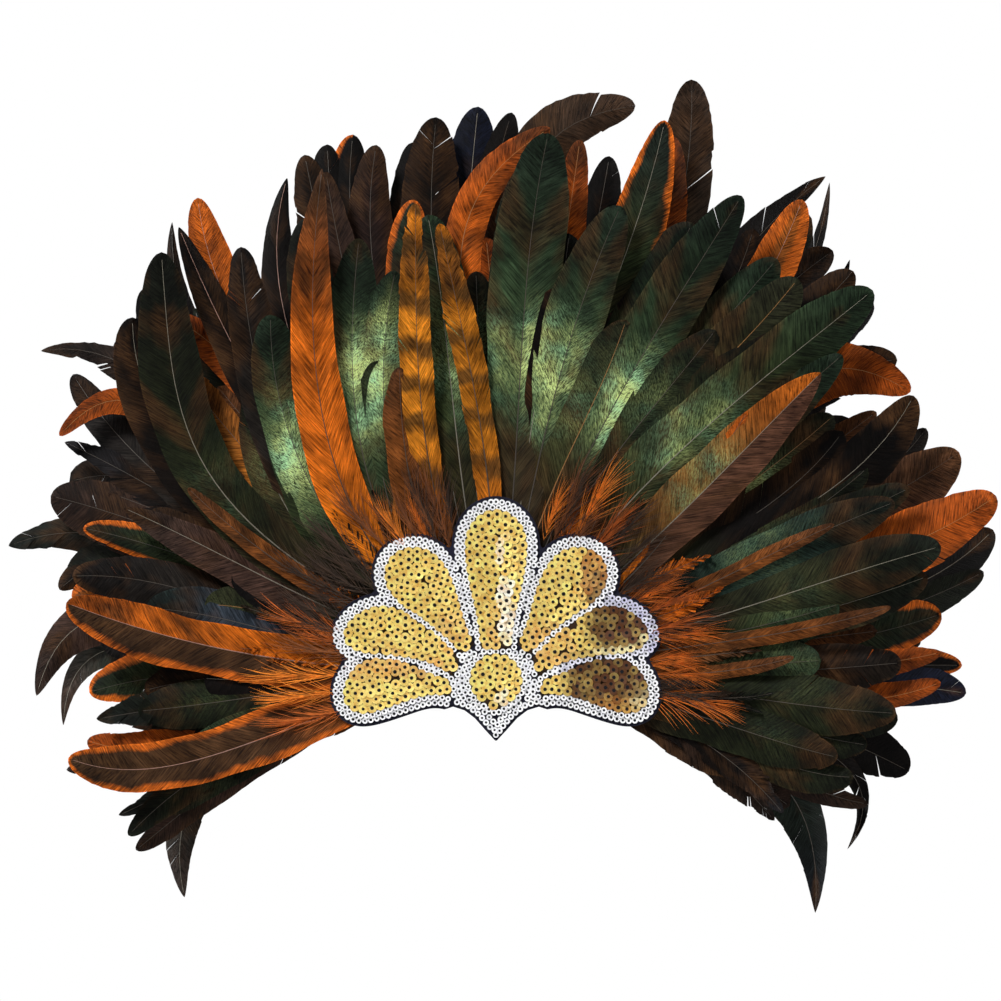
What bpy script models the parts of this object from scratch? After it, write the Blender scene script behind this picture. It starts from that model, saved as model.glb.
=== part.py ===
"""Feather headband: a felt head band that carries a fan of feathers behind a sequin motif.

Metres, +Z up. The front faces -Y and the origin is the centre of the head band's loop.
Tables and driving dimensions are in millimetres. Angles are in degrees, clockwise from
straight up as seen from the front.
"""

import math
from collections import namedtuple

import bmesh
import bpy

MM = 0.001
GAP = 0.3
SHARP_ANGLE = 40.0

# Head band: a flat front stretch, round front corners, straight sides and a round back.
BAND_WIDTH = 25.0
BAND_THICKNESS = 2.0
BAND_HALF_FRONT = 32.0
BAND_CORNER_RADIUS = 43.0
BAND_BACK_RADIUS = 75.0
BAND_FRONT = -93.0
BAND_BACK = 93.0
BAND_CORNER_STEPS = 6
BAND_BACK_STEPS = 18

# Backing plate: the stiff felt that the band is sewn to and the feather rows lie on.
BACKING_RADIUS = 58.0
BACKING_THICKNESS = 1.5
BACKING_LOWEST = -14.0
BACKING_STEPS = 18

# Feather rows: each row's quills are bound in a curved strip, and the rows are stacked.
STRIP_INNER = 20.0
STRIP_OUTER = 60.0
STRIP_THICKNESS = 2.0
STRIP_MARGIN = 1.5
STRIP_STEP_ANGLE = 20.0
ROW_PITCH = STRIP_THICKNESS + GAP
ROWS = 6

# Past the motif's edge the rows spread apart: slopes of the back and the front row.
HELD_RADIUS = 88.0
SPREAD_SOFTNESS = 60.0
BACK_SLOPE = 0.34
FRONT_SLOPE = -0.26

# Feather blades: a long strip, diamond in section, with a ridge for the quill.
QUILL_START = 46.0
RIDGE_THICKNESS = 1.7
STAGGER = 0.08
STAGGER_CYCLE = 4
ROLL = 5.0
ROLL_LENGTH = 50.0
CAMBER = 0.05
ROOT_SHARE = 0.22
WIDEST_FROM = 0.45
WIDEST_TO = 0.62
TIP_BLUNTNESS = 3.0
ROOT_HANDLE = 0.38
TIP_HANDLE = 0.32
HOOKED_ROOT_HANDLE = 0.60
HOOKED_TIP_HANDLE = 0.38
HOOKED_FROM = 60.0
HALVINGS = 20
HELD_SHARE_LIMIT = 0.6
PLAIN_STATIONS = (0.0, 0.38, 0.74, 0.95)
HOOKED_STATIONS = (0.0, 0.26, 0.50, 0.70, 0.86, 0.96)

# Sequin motif: petals round a bud, in a border, on a felt base.
FELT_THICKNESS = 1.5
BORDER_THICKNESS = 1.5
PETAL_THICKNESS = 2.4
PETAL_BEVEL = 0.9
BORDER_WIDTH = 5.6
RIM_WIDTH = 1.4
POCKET_OVERCUT = 1.0
PETAL_STEPS = 9
PETAL_WIDEST = 0.74
BUD_CENTRE = -3.5
BUD_RADIUS = 12.8
BUD_STEPS = 20
BUD_OPEN_ANGLE = 140.0
BUD_TIP = -19.0

BAND_OUTER_FRONT = BAND_FRONT - BAND_THICKNESS
BACKING_REAR = BAND_OUTER_FRONT - GAP
BACKING_FRONT = BACKING_REAR - BACKING_THICKNESS
FIRST_ROW = BACKING_FRONT - GAP - STRIP_THICKNESS / 2
LAST_ROW_FRONT = FIRST_ROW - (ROWS - 1) * ROW_PITCH - STRIP_THICKNESS / 2
FELT_REAR = LAST_ROW_FRONT - GAP
FELT_FRONT = FELT_REAR - FELT_THICKNESS
MOTIF_REAR = FELT_FRONT - GAP

# Each petal: its inner and outer ends, across and up, its greatest half width, its half
# width at the inner end as a share of that, and how far its middle bows upwards.
Petal = namedtuple("Petal", "name near_across near_up far_across far_up half_width base bow")
PETALS = (
    Petal("petal_top", 0.0, 12.0, 0.0, 81.0, 15.2, 0.50, 0.0),
    Petal("petal_upper_left", -14.0, 11.5, -50.0, 59.5, 14.6, 0.28, 1.5),
    Petal("petal_upper_right", 14.0, 11.5, 50.0, 59.5, 14.6, 0.28, 1.5),
    Petal("petal_middle_left", -19.5, 2.5, -75.2, 21.2, 12.2, 0.42, 7.0),
    Petal("petal_middle_right", 19.5, 2.5, 75.2, 21.2, 12.2, 0.42, 7.0),
    Petal("petal_lower_left", -22.5, -8.0, -75.7, -11.2, 13.0, 0.30, 5.2),
    Petal("petal_lower_right", 22.5, -8.0, 75.7, -11.2, 13.0, 0.30, 5.2),
)

# The border's foot, on its right side from the petals down to its point.
Edge = namedtuple("Edge", "across up")
FOOT = (
    Edge(34.0, -15.4),
    Edge(22.0, -15.2),
    Edge(15.0, -17.4),
    Edge(9.5, -21.6),
    Edge(4.2, -27.6),
    Edge(0.0, -32.8),
)

# Colours: linear red, green, blue, then roughness.
BLACK_FEATHER = (0.012, 0.014, 0.012, 0.45)
BRONZE_FEATHER = (0.075, 0.035, 0.020, 0.50)
ORANGE_FEATHER = (0.700, 0.170, 0.012, 0.55)
DARK_FEATHER = (0.020, 0.045, 0.026, 0.42)
GREEN_FEATHER = (0.050, 0.180, 0.100, 0.35)
GOLD_SEQUIN = (0.820, 0.560, 0.180, 0.25)
SILVER_SEQUIN = (0.850, 0.850, 0.880, 0.22)
BLACK_FELT = (0.010, 0.010, 0.014, 0.95)
BLACK_WEBBING = (0.014, 0.014, 0.016, 0.85)
SILVER_METALLIC = 0.8
GOLD_METALLIC = 0.9

# Each feather: angle of its quill at the root, place of its tip across and up,
# the way its tip points, and its greatest width.
Feather = namedtuple("Feather", "root tip_across tip_up aim width")
# Each bunch: its row, from 0 at the back to 5 at the front, its colour and its feathers.
Bunch = namedtuple("Bunch", "name row colour feathers")

BUNCHES = (
    Bunch("black_feathers_left", 0, BLACK_FEATHER, (
        Feather(-102, -156, -113, -186, 13),
        Feather(-87, -217, -27, -176, 18),
        Feather(-76, -219, 41, -135, 20),
        Feather(-71, -245, 63, -108, 22),
        Feather(-64, -229, 161, -98, 17),
        Feather(-57, -189, 172, -25, 24),
        Feather(-48, -163, 226, -3, 15),
    )),
    Bunch("black_feathers_crown", 0, BLACK_FEATHER, (
        Feather(-37, -105, 248, 12, 25),
        Feather(-29, -85, 265, 0, 24),
        Feather(-22, -72, 270, 10, 24),
        Feather(-15, -42, 266, 2, 26),
        Feather(-8, -9, 284, 13, 31),
        Feather(3, 8, 281, 20, 24),
        Feather(12, 57, 259, 8, 26),
    )),
    Bunch("black_feathers_right", 0, BLACK_FEATHER, (
        Feather(33, 166, 249, 48, 24),
        Feather(39, 168, 246, 12, 11),
        Feather(43, 178, 207, 18, 19),
        Feather(48, 190, 185, 58, 28),
        Feather(61, 216, 122, 42, 19),
        Feather(78, 250, 71, 36, 27),
        Feather(84, 245, 50, 62, 20),
        Feather(90, 234, 3, 85, 18),
        Feather(93, 236, -11, 96, 24),
        Feather(96, 206, -51, 124, 27),
        Feather(99, 176, -89, 215, 12),
        Feather(103, 160, -121, 190, 18),
    )),
    Bunch("bronze_feathers_left", 1, BRONZE_FEATHER, (
        Feather(-102.5, -180, -89, -135, 15),
        Feather(-97, -215, -49, -95, 24),
        Feather(-81, -230, -12, -160, 25),
        Feather(-73, -208, 73, -84, 24),
        Feather(-68, -223, 88, -82, 32),
        Feather(-65.5, -216, 115, -62, 30),
        Feather(-63, -212, 149, -35, 20),
        Feather(-59, -190, 166, -8, 15),
        Feather(-52, -176, 192, -12, 22),
    )),
    Bunch("bronze_feathers_crown", 1, BRONZE_FEATHER, (
        Feather(-32, -96, 259, -8, 24),
        Feather(-19, -60, 264, 6, 24),
        Feather(-11, -30, 278, 10, 30),
        Feather(8, 70, 284, 84, 28),
    )),
    Bunch("bronze_feathers_right", 1, BRONZE_FEATHER, (
        Feather(23, 98, 297, -3, 28),
        Feather(29, 129, 222, 22, 24),
        Feather(36, 169, 211, 50, 26),
        Feather(42, 174, 188, 45, 24),
        Feather(53, 201, 156, 92, 24),
        Feather(66, 232, 110, 60, 34),
        Feather(86, 223, 29, 66, 28),
        Feather(94, 201, -24, 92, 26),
        Feather(99.5, 186, -66, 94, 14),
        Feather(103, 139, -74, 145, 18),
    )),
    Bunch("orange_feathers_left", 2, ORANGE_FEATHER, (
        Feather(-102, -142, -50, -118, 18),
        Feather(-98, -204, -34, -78, 20),
        Feather(-91, -203, -10, -100, 24),
        Feather(-77, -212, 38, -100, 28),
        Feather(-71, -206, 72, -78, 17),
        Feather(-62, -218, 118, -140, 13),
        Feather(-51, -155, 148, -35, 26),
        Feather(-43, -162, 178, -62, 20),
        Feather(-36, -149, 237, -13, 22),
    )),
    Bunch("orange_feathers_crown", 2, ORANGE_FEATHER, (
        Feather(-25, -85, 250, -12, 18),
        Feather(-17, -41, 236, 18, 22),
        Feather(-3, 27, 272, 62, 18),
        Feather(0, -5, 217, 0, 20),
        Feather(10, 42, 266, 3, 19),
        Feather(18, 88, 268, 4, 23),
    )),
    Bunch("orange_feathers_right", 2, ORANGE_FEATHER, (
        Feather(35, 153, 236, 22, 24),
        Feather(50, 207, 140, 126, 30),
        Feather(58, 190, 130, 58, 18),
        Feather(72, 250, 88, 58, 31),
        Feather(87, 222, 10, 82, 16),
        Feather(92.5, 222, -5, 75, 15),
        Feather(97, 168, -32, 100, 18),
        Feather(102, 124, -48, 118, 16),
    )),
    Bunch("dark_green_feathers_left", 3, DARK_FEATHER, (
        Feather(-102.5, -183, -81, -130, 17),
        Feather(-100, -188, -71, -118, 21),
        Feather(-93, -199, -23, -100, 27),
        Feather(-80, -211, 48, -96, 24),
        Feather(-65, -181, 177, -5, 24),
        Feather(-57, -127, 212, 3, 23),
        Feather(-46, -158, 222, -20, 19),
    )),
    Bunch("dark_green_feathers_crown", 3, DARK_FEATHER, (
        Feather(-30, -95, 226, -5, 25),
        Feather(-11, -34, 228, -10, 26),
        Feather(-4, -10, 200, -3, 22),
        Feather(3, 14, 252, 5, 25),
        Feather(12, 84, 275, 12, 27),
        Feather(17, 98, 224, 36, 28),
    )),
    Bunch("dark_green_feathers_right", 3, DARK_FEATHER, (
        Feather(31, 140, 206, 35, 28),
        Feather(42, 178, 200, 42, 28),
        Feather(52, 168, 128, 50, 24),
        Feather(60, 208, 138, 28, 26),
        Feather(70, 206, 92, 64, 24),
        Feather(81, 215, 48, 72, 24),
        Feather(91, 202, 5, 88, 26),
        Feather(95.5, 185, -36, 105, 22),
        Feather(99.5, 178, -52, 98, 20),
        Feather(103, 143, -70, 134, 18),
    )),
    Bunch("green_feathers_left", 4, GREEN_FEATHER, (
        Feather(-100, -152, -37, -102, 18),
        Feather(-94, -178, -19, -96, 24),
        Feather(-83, -174, 30, -92, 25),
        Feather(-70, -185, 82, -62, 19),
        Feather(-63, -166, 209, 0, 28),
        Feather(-53, -112, 178, 3, 25),
        Feather(-41, -68, 216, 5, 26),
        Feather(-33, -50, 200, 8, 24),
    )),
    Bunch("green_feathers_crown", 4, GREEN_FEATHER, (
        Feather(6, 26, 268, 12, 34),
        Feather(11, 62, 232, 20, 27),
        Feather(21, 122, 237, 28, 28),
        Feather(27, 150, 196, 42, 30),
        Feather(36, 187, 190, 51, 30),
        Feather(47, 172, 158, 46, 22),
    )),
    Bunch("green_feathers_right", 4, GREEN_FEATHER, (
        Feather(68, 198, 85, 66, 24),
        Feather(77, 221, 63, 68, 27),
        Feather(94, 199, -20, 92, 28),
        Feather(99.5, 170, -42, 102, 24),
    )),
    Bunch("bright_feathers_left", 5, ORANGE_FEATHER, (
        Feather(-102, -212, -42, -62, 24),
        Feather(-88, -213, 35, -70, 25),
        Feather(-66, -153, 92, -52, 12),
    )),
    Bunch("bright_feathers_crown", 5, ORANGE_FEATHER, (
        Feather(-48, -86, 250, 8, 22),
        Feather(-29, -48, 152, -2, 18),
        Feather(-21, -40, 233, 0, 15),
        Feather(-1, -28, 223, -14, 15),
    )),
    Bunch("bright_feathers_right", 5, ORANGE_FEATHER, (
        Feather(51, 161, 149, 42, 26),
        Feather(57, 125, 130, 36, 12),
        Feather(69, 152, 64, 64, 12),
        Feather(82, 212, 44, 62, 12),
        Feather(91, 152, 8, 84, 12),
    )),
)


def clear_scene():
    """Removes whatever the file held before."""
    for old in list(bpy.data.objects):
        bpy.data.objects.remove(old, do_unlink=True)


def direction(angle):
    """The unit vector, across and up, at an angle clockwise from straight up."""
    turned = math.radians(angle)
    return math.sin(turned), math.cos(turned)


def finish(name, colour, metallic=0.0):
    """A Principled material from a colour row."""
    red, green, blue, roughness = colour
    material = bpy.data.materials.new(name)
    material.use_nodes = True
    shader = material.node_tree.nodes["Principled BSDF"]
    shader.inputs["Base Color"].default_value = (red, green, blue, 1.0)
    shader.inputs["Roughness"].default_value = roughness
    shader.inputs["Metallic"].default_value = metallic
    material.diffuse_color = (red, green, blue, 1.0)
    return material


def make_object(name, points, faces, material=None):
    """A mesh object from points in millimetres, with its faces turned outwards."""
    mesh = bpy.data.meshes.new(name)
    shape = bmesh.new()
    corners = [shape.verts.new((x * MM, y * MM, z * MM)) for x, y, z in points]
    for face in faces:
        shape.faces.new([corners[index] for index in face])
    bmesh.ops.recalc_face_normals(shape, faces=shape.faces)
    shape.to_mesh(mesh)
    shape.free()
    mesh.shade_smooth()
    mesh.set_sharp_from_angle(angle=math.radians(SHARP_ANGLE))
    made = bpy.data.objects.new(name, mesh)
    bpy.context.scene.collection.objects.link(made)
    if material is not None:
        mesh.materials.append(material)
    return made


def prism(name, outline, front, rear, material=None):
    """A flat piece: an outline of (across, up) points between two depths."""
    count = len(outline)
    points = [(x, front, z) for x, z in outline] + [(x, rear, z) for x, z in outline]
    faces = [tuple(range(count)), tuple(range(2 * count - 1, count - 1, -1))]
    for here in range(count):
        following = (here + 1) % count
        faces.append((here, following, following + count, here + count))
    return make_object(name, points, faces, material)


def as_helper(helper):
    """Marks an object that a Boolean uses, so that it isn't a piece itself."""
    helper.hide_render = True
    helper.display_type = "WIRE"
    return helper


def boolean(target, helpers, operation):
    """Joins helpers to the target, or cuts them from it."""
    group = bpy.data.collections.new(target.name + "_" + operation.lower())
    bpy.context.scene.collection.children.link(group)
    for helper in helpers:
        bpy.context.scene.collection.objects.unlink(helper)
        group.objects.link(as_helper(helper))
    modifier = target.modifiers.new(operation.title(), "BOOLEAN")
    modifier.operation = operation
    modifier.operand_type = "COLLECTION"
    modifier.collection = group
    modifier.solver = "EXACT"


def arc(centre, radius, first, last, steps):
    """Points (across, along) on an arc from one angle to another, both ends included."""
    angles = [first + (last - first) * step / steps for step in range(steps + 1)]
    return [
        (centre[0] + radius * direction(angle)[0], centre[1] + radius * direction(angle)[1])
        for angle in angles
    ]


def band_path(offset):
    """The band's loop seen from above, grown outwards by an offset, as (x, y) points."""
    side = BAND_HALF_FRONT + BAND_CORNER_RADIUS
    corner_y = BAND_FRONT + BAND_CORNER_RADIUS
    back_y = BAND_BACK - BAND_BACK_RADIUS
    corner = BAND_CORNER_RADIUS + offset
    steps = BAND_CORNER_STEPS
    right = arc((side - BAND_CORNER_RADIUS, corner_y), corner, 180, 90, steps)
    back = arc((0.0, back_y), BAND_BACK_RADIUS + offset, 90, -90, BAND_BACK_STEPS)
    left = arc((BAND_CORNER_RADIUS - side, corner_y), corner, 270, 180, steps)
    return right + back + left


def build_head_band():
    """The head band: a wall of even thickness round the head's outline."""
    inner = band_path(0.0)
    outer = band_path(BAND_THICKNESS)
    count = len(inner)
    half = BAND_WIDTH / 2
    rings = ((inner, -half), (outer, -half), (outer, half), (inner, half))
    points = [(x, y, z) for ring, z in rings for x, y in ring]
    faces = []
    for ring in range(4):
        beside = (ring + 1) % 4
        for here in range(count):
            following = (here + 1) % count
            faces.append((
                ring * count + here,
                ring * count + following,
                beside * count + following,
                beside * count + here,
            ))
    make_object("head_band", points, faces, finish("webbing", BLACK_WEBBING))


def build_backing_plate():
    """The backing plate: a disc cut off straight below."""
    low = 90 + math.degrees(math.asin(-BACKING_LOWEST / BACKING_RADIUS))
    outline = arc((0.0, 0.0), BACKING_RADIUS, -low, low, BACKING_STEPS)
    prism("backing_plate", outline, BACKING_FRONT, BACKING_REAR, finish("backing", BLACK_FELT))


def row_depth(row, across, up):
    """The depth of a row's surface: flat behind the motif, then leaning away from it."""
    slope = BACK_SLOPE + (FRONT_SLOPE - BACK_SLOPE) * row / (ROWS - 1)
    free = max(0.0, math.hypot(across, up) - HELD_RADIUS)
    return FIRST_ROW - row * ROW_PITCH + slope * free * free / (free + SPREAD_SOFTNESS)


def is_hooked(feather):
    """Whether a feather's tip turns far away from the way its root points."""
    return abs(feather.aim - feather.root) > HOOKED_FROM


def feather_spine(feather, share):
    """The point of a feather's quill at a share of its length, and its direction there."""
    root_handle = HOOKED_ROOT_HANDLE if is_hooked(feather) else ROOT_HANDLE
    tip_handle = HOOKED_TIP_HANDLE if is_hooked(feather) else TIP_HANDLE
    root_x, root_z = direction(feather.root)
    aim_x, aim_z = direction(feather.aim)
    start = (root_x * QUILL_START, root_z * QUILL_START)
    tip = (feather.tip_across, feather.tip_up)
    reach = math.dist(start, tip)
    leave = (
        start[0] + root_x * root_handle * reach,
        start[1] + root_z * root_handle * reach,
    )
    arrive = (tip[0] - aim_x * tip_handle * reach, tip[1] - aim_z * tip_handle * reach)
    left = 1.0 - share
    weights = (left**3, 3 * left**2 * share, 3 * left * share**2, share**3)
    pulls = (start, leave, arrive, tip)
    place = [
        sum(weight * pull[axis] for weight, pull in zip(weights, pulls)) for axis in (0, 1)
    ]
    bends = (left**2, 2 * left * share, share**2)
    runs = ((start, leave), (leave, arrive), (arrive, tip))
    heading = [
        sum(bend * (run[1][axis] - run[0][axis]) for bend, run in zip(bends, runs))
        for axis in (0, 1)
    ]
    length = math.hypot(*heading)
    return place, (heading[0] / length, heading[1] / length)


def width_share(share):
    """The blade's width along the feather, as a share of its greatest."""
    if share < WIDEST_FROM:
        rise = share / WIDEST_FROM
        return ROOT_SHARE + (1.0 - ROOT_SHARE) * rise * (2.0 - rise)
    if share > WIDEST_TO:
        fall = (share - WIDEST_TO) / (1.0 - WIDEST_TO)
        return math.sqrt(max(0.0, 1.0 - fall**TIP_BLUNTNESS))
    return 1.0


def blade_stations(feather):
    """Shares of the feather's length with a section: the root, then from the motif's edge on."""
    inside, outside = 0.0, HELD_SHARE_LIMIT
    for _ in range(HALVINGS):
        held = (inside + outside) / 2
        place, _ = feather_spine(feather, held)
        if math.hypot(*place) < HELD_RADIUS:
            inside = held
        else:
            outside = held
    spread = HOOKED_STATIONS if is_hooked(feather) else PLAIN_STATIONS
    return [0.0] + [held + (1.0 - held) * share for share in spread]


def build_blade(name, feather, row, stagger):
    """One feather: diamond sections along its quill, on its row's surface, to a point.

    Front and rear faces are split along matching diagonals, so that they never cross where
    the blade leans.
    """
    half_ridge = RIDGE_THICKNESS / 2
    corners = ((-1, 0.0), (0, -half_ridge), (1, 0.0), (0, half_ridge))
    points = []
    stations = blade_stations(feather)
    for share in stations:
        (x, z), (run_x, run_z) = feather_spine(feather, share)
        half = feather.width / 2 * width_share(share)
        free = max(0.0, math.hypot(x, z) - HELD_RADIUS)
        roll = math.sin(math.radians(ROLL)) * min(1.0, free / ROLL_LENGTH)
        for side, lift in corners:
            across = x + side * run_z * half
            up = z - side * run_x * half
            bend = abs(side) * CAMBER * half * min(1.0, free / ROLL_LENGTH)
            depth = row_depth(row, across, up) + stagger + lift + bend + side * roll * half
            points.append((across, depth, up))
    tip_depth = row_depth(row, feather.tip_across, feather.tip_up) + stagger
    points.append((feather.tip_across, tip_depth, feather.tip_up))
    faces = [(3, 2, 1), (3, 1, 0)]
    sections = len(stations)
    for section in range(sections - 1):
        base = section * 4
        for ridge in (1, 3):
            for edge in (0, 2):
                faces.append((base + ridge, base + edge, base + 4 + edge))
                faces.append((base + ridge, base + 4 + edge, base + 4 + ridge))
    last = (sections - 1) * 4
    for corner in range(4):
        faces.append((last + corner, last + (corner + 1) % 4, sections * 4))
    return make_object(name, points, faces)


def build_bunch(bunch):
    """A bunch: its binding strip, with its feathers joined to it."""
    first = min(feather.root for feather in bunch.feathers) - STRIP_MARGIN
    last = max(feather.root for feather in bunch.feathers) + STRIP_MARGIN
    steps = max(1, math.ceil((last - first) / STRIP_STEP_ANGLE))
    outline = arc((0.0, 0.0), STRIP_OUTER, first, last, steps)
    outline += arc((0.0, 0.0), STRIP_INNER, last, first, steps)
    middle = FIRST_ROW - bunch.row * ROW_PITCH
    front = middle - STRIP_THICKNESS / 2
    rear = middle + STRIP_THICKNESS / 2
    strip = prism(bunch.name, outline, front, rear, finish(bunch.name, bunch.colour))
    blades = []
    for order, feather in enumerate(bunch.feathers):
        stagger = STAGGER * (order % STAGGER_CYCLE - (STAGGER_CYCLE - 1) / 2)
        blades.append(build_blade(f"{bunch.name}_{order}", feather, bunch.row, stagger))
    boolean(strip, blades, "UNION")


def grown(outline, grow):
    """An outline moved outwards along its own normals."""
    count = len(outline)
    moved = []
    for here in range(count):
        before_x, before_z = outline[here - 1]
        after_x, after_z = outline[(here + 1) % count]
        length = math.hypot(after_x - before_x, after_z - before_z)
        normal_x = -(after_z - before_z) / length
        normal_z = (after_x - before_x) / length
        moved.append((outline[here][0] + grow * normal_x, outline[here][1] + grow * normal_z))
    return moved


def petal_share(petal, share):
    """A petal's half width as a share of its greatest: rising from its base, then round."""
    if share < PETAL_WIDEST:
        rise = (1.0 - math.cos(math.pi * share / PETAL_WIDEST)) / 2
        return petal.base + (1.0 - petal.base) * rise
    fall = (share - PETAL_WIDEST) / (1.0 - PETAL_WIDEST)
    return math.sqrt(max(0.0, 1.0 - fall * fall))


def petal_outline(petal, grow):
    """A petal, clockwise: a narrow inner end and a large round outer one, bowed upwards."""
    run_x = petal.far_across - petal.near_across
    run_z = petal.far_up - petal.near_up
    length = math.hypot(run_x, run_z)
    side_x, side_z = -run_z / length, run_x / length
    upward = math.copysign(1.0, run_x)
    left, right = [], []
    for step in range(1, PETAL_STEPS):
        share = (1.0 - math.cos(math.pi * step / PETAL_STEPS)) / 2
        bow = upward * petal.bow * 4 * share * (1 - share)
        half = petal.half_width * petal_share(petal, share)
        centre_x = petal.near_across + run_x * share + side_x * bow
        centre_z = petal.near_up + run_z * share + side_z * bow
        left.append((centre_x + side_x * half, centre_z + side_z * half))
        right.append((centre_x - side_x * half, centre_z - side_z * half))
    far = (petal.far_across, petal.far_up)
    near = (petal.near_across, petal.near_up)
    return grown([near] + left + [far] + right[::-1], grow)


def foot_outline(grow):
    """The border below the bud: hollow sides that meet in a point."""
    right = [(edge.across, edge.up) for edge in FOOT]
    left = [(-across, up) for across, up in right[-2::-1]]
    return grown([(FOOT[0].across, 0.0)] + right + left + [(-FOOT[0].across, 0.0)], grow)


def bud_outline(grow):
    """The bud: a disc with a short point below."""
    outline = arc((0.0, BUD_CENTRE), BUD_RADIUS, -BUD_OPEN_ANGLE, BUD_OPEN_ANGLE, BUD_STEPS)
    outline.append((0.0, BUD_TIP))
    return grown(outline, grow)


def build_motif_plate(name, grow, front, rear, material):
    """A plate with the motif's whole outline, grown past the petals by a width."""
    plate = prism(name, bud_outline(grow), front, rear, material)
    lobes = [
        prism(f"{name}_{petal.name}", petal_outline(petal, grow), front, rear)
        for petal in PETALS
    ]
    lobes.append(prism(f"{name}_foot", foot_outline(grow - BORDER_WIDTH), front, rear))
    boolean(plate, lobes, "UNION")
    return plate


def build_pad(name, outline, inset, material):
    """A sequin field: a thick flat piece with a sloping edge round its front."""
    count = len(outline)
    front = MOTIF_REAR - PETAL_THICKNESS
    shoulder = front + PETAL_BEVEL
    points = [(x, MOTIF_REAR, z) for x, z in outline]
    points += [(x, shoulder, z) for x, z in outline]
    points += [(x, front, z) for x, z in inset]
    faces = [tuple(range(count)), tuple(range(2 * count, 3 * count))]
    for ring in (0, count):
        for here in range(count):
            following = (here + 1) % count
            beside = ring + count
            faces.append((ring + here, ring + following, beside + following, beside + here))
    make_object(name, points, faces, material)


def build_motif():
    """The sequin motif: felt base, border with pockets, petals and bud."""
    felt = finish("felt", BLACK_FELT)
    silver = finish("silver", SILVER_SEQUIN, SILVER_METALLIC)
    build_motif_plate("felt_base", BORDER_WIDTH + RIM_WIDTH, FELT_FRONT, FELT_REAR, felt)
    border_front = MOTIF_REAR - BORDER_THICKNESS
    border = build_motif_plate("silver_border", BORDER_WIDTH, border_front, MOTIF_REAR, silver)
    front = border_front - POCKET_OVERCUT
    rear = MOTIF_REAR + POCKET_OVERCUT
    pockets = [
        prism(f"pocket_{petal.name}", petal_outline(petal, GAP), front, rear)
        for petal in PETALS
    ]
    pockets.append(prism("pocket_bud", bud_outline(GAP), front, rear))
    boolean(border, pockets, "DIFFERENCE")
    for petal in PETALS:
        gold = finish(petal.name, GOLD_SEQUIN, GOLD_METALLIC)
        build_pad(petal.name, petal_outline(petal, 0.0), petal_outline(petal, -PETAL_BEVEL), gold)
    gold = finish("bud", GOLD_SEQUIN, GOLD_METALLIC)
    build_pad("bud", bud_outline(0.0), bud_outline(-PETAL_BEVEL), gold)


def main():
    clear_scene()
    build_head_band()
    build_backing_plate()
    for bunch in BUNCHES:
        build_bunch(bunch)
    build_motif()


main()
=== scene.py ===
"""Feather headband: the looks of its feathers, down, sequins, felt and webbing.

Metres, +Z up, the front faces -Y. Tables and driving sizes are in millimetres, and angles
are in degrees, clockwise from straight up as seen from the front.
"""

from __future__ import annotations

import logging
import math
from dataclasses import dataclass, field
from enum import Enum, IntEnum
from functools import partial
from typing import Any, Callable, Iterable, NamedTuple, Sequence

import bmesh
import bpy
import numpy as np
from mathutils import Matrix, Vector

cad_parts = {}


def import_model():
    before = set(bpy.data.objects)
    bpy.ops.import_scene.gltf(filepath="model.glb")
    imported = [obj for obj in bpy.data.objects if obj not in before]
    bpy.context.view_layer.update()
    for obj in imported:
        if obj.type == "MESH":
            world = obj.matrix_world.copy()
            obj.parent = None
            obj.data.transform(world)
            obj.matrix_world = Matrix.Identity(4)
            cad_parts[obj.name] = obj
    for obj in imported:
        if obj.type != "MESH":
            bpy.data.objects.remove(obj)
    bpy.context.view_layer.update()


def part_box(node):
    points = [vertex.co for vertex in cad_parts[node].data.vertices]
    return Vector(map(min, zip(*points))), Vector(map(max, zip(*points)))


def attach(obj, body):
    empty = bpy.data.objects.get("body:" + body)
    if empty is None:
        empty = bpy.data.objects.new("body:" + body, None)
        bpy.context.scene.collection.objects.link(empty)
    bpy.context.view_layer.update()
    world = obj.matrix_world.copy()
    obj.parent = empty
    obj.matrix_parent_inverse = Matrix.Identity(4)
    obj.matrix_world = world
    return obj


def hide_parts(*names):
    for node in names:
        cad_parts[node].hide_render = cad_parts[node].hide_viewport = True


LOG = logging.getLogger("headband")
MM = 0.001
BODY = "root"
SEED = 41
# How far the back row's quills stand in front of the backing.
ROW_STAND = 1.3

Colour = tuple[float, float, float]
Numbers = Sequence[float]
# A range of a value, and the range that it is moved to.
Span = tuple[float, float, float, float]
# A noise: features for each metre, detail and roughness.
Grain = tuple[float, float, float]
# A noise on a vane: features for each millimetre of quill and each barb's length, detail, roughness.
Web = tuple[float, float, float, float]

# A closed outline for each growth, and a test of which points may be used.
Outline = Callable[[float], np.ndarray]
Test = Callable[[np.ndarray], np.ndarray]

# Feathers that turn by more degrees than this from root to tip are hooked.
HOOKED_TURN = 60.0
# What stands for 0 where something is divided by it.
TINY = 1e-9
# What keeps the seeds of one use apart from those of another.
BUNCH_SEEDS = 40
GAP_SEEDS = 500
DOWN_SEEDS = 900
FILLER_SEEDS = 1000
MOTIF_SEED = 7

PALE_QUILL: Colour = (0.21, 0.19, 0.145)
PINK_QUILL: Colour = (0.34, 0.19, 0.145)
DARK_QUILL: Colour = (0.060, 0.048, 0.036)
AMBER_QUILL: Colour = (0.30, 0.14, 0.04)
RUST: Colour = (0.50, 0.105, 0.010)


class Side(IntEnum):
    """The sides of a feather whose tip points up."""

    LEFT = -1
    RIGHT = 1


class Stuff(IntEnum):
    """What the faces of a bunch are made of, in the order of its materials."""

    VANE = 0
    QUILL = 1
    TAPE = 2


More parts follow.
